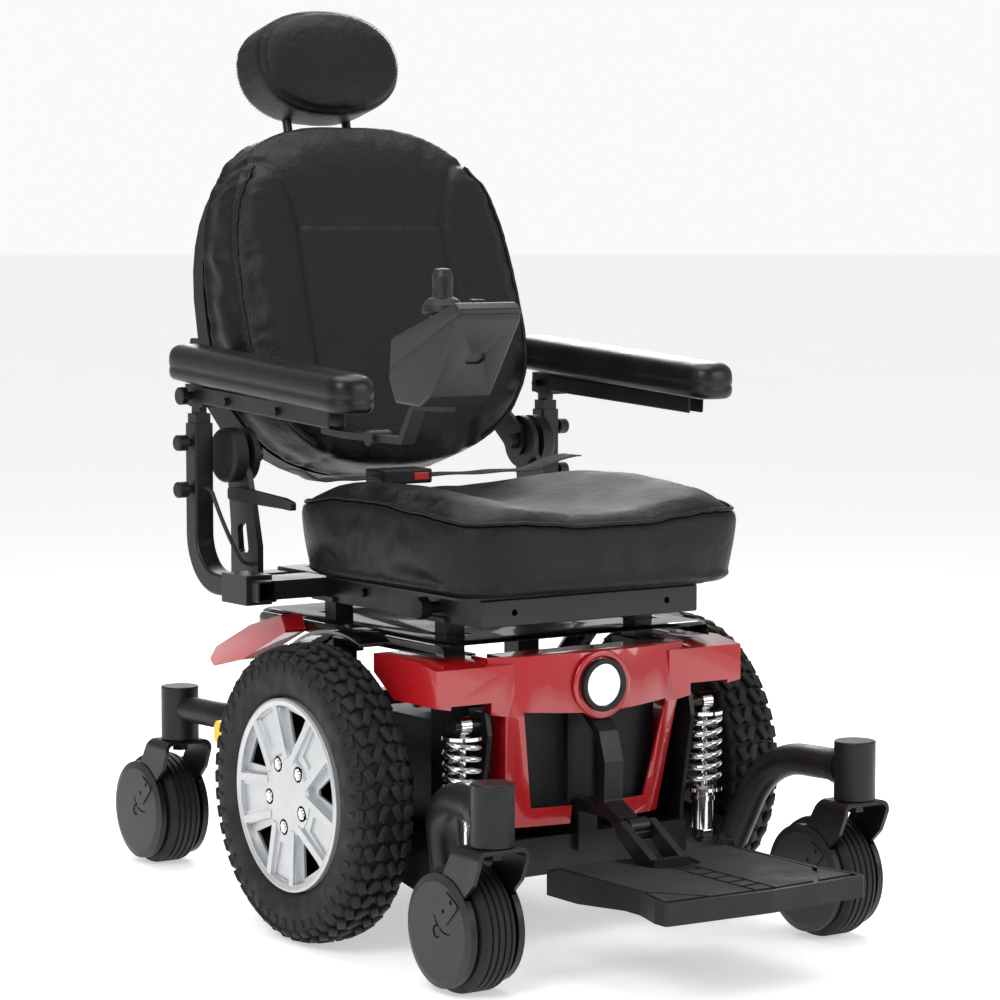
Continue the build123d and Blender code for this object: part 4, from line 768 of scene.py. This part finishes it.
for s in (-1, 1):
    crease(back_pad, on_back(s * 0.19, 0.385, 0.045), (0, 0.45, 0.9), 0.045, 0.019, 0.0016)
    crease(back_pad, on_back(s * 0.215, 0.22, 0.05), (0, 0.2, 1), 0.06, 0.034, 0.0011)
crease(back_pad, on_back(0.04, 0.12, 0.0), (0.7, 0.2, 0.7), 0.09, 0.055, 0.0008)
soften(back_pad)
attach(back_pad, "back")
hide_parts("back_cushion")

# ---------------------------------------------------------------- headrest
# Oval foam pad in vinyl: a domed face, and a gusset round it that is sewn on with a double seam.
low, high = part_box("headrest")
head_middle = (low + high) / 2
head_half_x, head_half_up, head_half_deep = 0.105, 0.069, 0.040


def on_head(x, up, depth):
    """A point of the headrest, from its middle."""
    return head_middle + Vector((x, 0, 0)) + lean_axis * up + rear_axis * depth


head_square = 2.35
foam = foam_block(22)
for v in foam.verts:
    a, b, c = round_off(*v.co, head_square, 9)
    dome = 0.013 * max(0.0, 1 - a * a - b * b) ** 0.7
    deep = c * head_half_deep - (dome if c < 0 else -0.3 * dome) * abs(c)
    v.co = on_head(a * head_half_x * 1.01, b * head_half_up * 1.01, deep)
head_pad = shaped("head_pad", foam, vinyl)
swell(head_pad, 0.004, lambda place: 0.005)
head_tree = skin_of(head_pad)
shrink = 0.985
for name, depth in (("front", -0.038), ("rear", 0.038)):
    hoop = []
    for k in range(121):
        a, b = cos(2 * pi * k / 120), sin(2 * pi * k / 120)
        pull = shrink / (abs(a) ** head_square + abs(b) ** head_square) ** (1 / head_square)
        hoop.append(head_tree.find_nearest(on_head(a * pull * head_half_x, b * pull * head_half_up, depth))[:2])
    press_seam(head_pad, hoop, 0.004, 0.0024)
    inner = Vector(rear_axis) * (-0.006 if depth < 0 else 0.006)
    for row, shift in (("a", -0.75), ("b", 0.75)):
        beside = [head_tree.find_nearest(place - inner * shift)[:2] for place, _ in hoop]
        stitching(f"headrest_stitches_{name}_{row}", beside, stitch_pitch, "head")
crease(head_pad, on_head(-0.095, 0.01, 0.0), (0, 0.3, 1), 0.03, 0.016, 0.0009)
soften(head_pad)
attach(head_pad, "head")
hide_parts("headrest")

# ---------------------------------------------------------------- arm pads
# Integral-skin polyurethane: soft foam that skins itself against the mould, with a satin sheen and a
# parting line along its side where the mould closes.
skin = finish_of("integral_skin_polyurethane", "0D0E0F", 0.3, [("Specular IOR Level", 0.4)])
tint(skin, "0B0C0D", "121314", 0.05)
wear(skin, 0.25, 0.4, 0.05)
grain(skin, 0.0014, 0.00012, cells=True)
for side in ("left", "right"):
    node = frame["nodes"][f"arm_pad_{side}"]
    low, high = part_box(node.name)
    middle, half = (low + high) / 2, (high - low) / 2
    front_top = max(v.co.z for v in node.data.vertices if v.co.y < low.y + 0.12)
    rear_top = max(v.co.z for v in node.data.vertices if v.co.y > high.y - 0.12)
    slope = (rear_top - front_top) / (high.y - low.y - 0.12)
    thick = 0.0455
    pad = foam_block(24)
    for v in pad.verts:
        a, b, c = round_off(v.co.x, v.co.y, v.co.z, 2.6, 3.4 if v.co.z > -0.2 else 7)
        v.co = (a, b, c)
    bmesh.ops.scale(pad, vec=(half.x * 0.985, half.x * 0.985, thick / 2), verts=pad.verts[:])
    reach = half.y - half.x
    for v in pad.verts:
        t = max(-1.0, min(1.0, v.co.y / (half.x * 0.2)))
        v.co.y += t * reach
    for v in pad.verts:
        v.co.x += middle.x
        v.co.y += middle.y
        v.co.z += (front_top + rear_top) / 2 - thick / 2 + slope * (v.co.y - middle.y)
    arm_pad = shaped(f"arm_cushion_{side}", pad, skin)
    remesh = arm_pad.modifiers.new("remesh", "REMESH")
    remesh.mode = "VOXEL"
    remesh.voxel_size = 0.003
    relax = arm_pad.modifiers.new("relax", "SMOOTH")
    relax.iterations = 8
    apply_modifiers(arm_pad)
    for face in arm_pad.data.polygons:
        face.use_smooth = True
    tree = skin_of(arm_pad)
    hoop = []
    for k in range(201):
        angle = 2 * pi * k / 200
        y = middle.y + (half.y + 0.01) * sin(angle)
        x = middle.x + (half.x + 0.01) * cos(angle)
        z = (front_top + rear_top) / 2 - thick * 0.62 + slope * (y - middle.y)
        hoop.append(tree.find_nearest(Vector((x, y, z)))[:2])
    press_seam(arm_pad, hoop, 0.0022, 0.0011)
    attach(arm_pad, f"armrest_{side}")
    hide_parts(f"arm_pad_{side}")

# ---------------------------------------------------------------- lap belt
# Two lengths of black polyester webbing, 38 mm wide, that lie in soft waves across the rear of the
# cushion, one from each side, and meet at the buckle.
webbing = finish_of("woven_polyester_webbing", "101012", 0.6, [("Sheen Weight", 0.1)])
tint(webbing, "0D0D0F", "161618", 0.01)
place = add_node(webbing, "TexCoord")
ribs = add_node(webbing, "TexWave", [("Scale", 220.0), ("Distortion", 0.6)], [("Vector", place, "Object")],
                bands_direction="X")
weave = add_node(webbing, "Bump", [("Distance", 0.0006)], [("Height", ribs, "Fac")])
shader = webbing.node_tree.nodes["Principled BSDF"]
webbing.node_tree.links.new(weave.outputs["Normal"], shader.inputs["Normal"])
low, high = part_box("lap_belt")
buckle_low, buckle_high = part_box("belt_buckle")
belt_z = low.z + 0.0008
webbing_width = 0.038
belt_y = (low.y + high.y) / 2
for side, x_out, x_in in (("left", high.x, buckle_high.x + 0.002), ("right", low.x, buckle_low.x - 0.002)):
    strap = bmesh.new()
    count = 36
    row = []
    for k in range(count + 1):
        t = k / count
        x = x_out + (x_in - x_out) * t
        z = belt_z + (high.z - low.z - 0.004) * (1 - ease(t, 0.0, 0.35)) + 0.0012 * sin(9 * t) ** 2
        row.append((x, belt_y - webbing_width / 2 + 0.0015 * sin(7 * t), z))
    made = chain(strap, row)
    grown = bmesh.ops.extrude_edge_only(strap, edges=[e for e in made if isinstance(e, bmesh.types.BMEdge)])
    far_edge = [v for v in grown["geom"] if isinstance(v, bmesh.types.BMVert)]
    bmesh.ops.translate(strap, verts=far_edge, vec=(0, webbing_width, 0))
    belt = shaped(f"belt_webbing_{side}", strap, webbing)
    wall = belt.modifiers.new("wall", "SOLIDIFY")
    wall.thickness = 0.0014
    wall.offset = 0
    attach(belt, "base")
    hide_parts("lap_belt")

low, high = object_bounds()
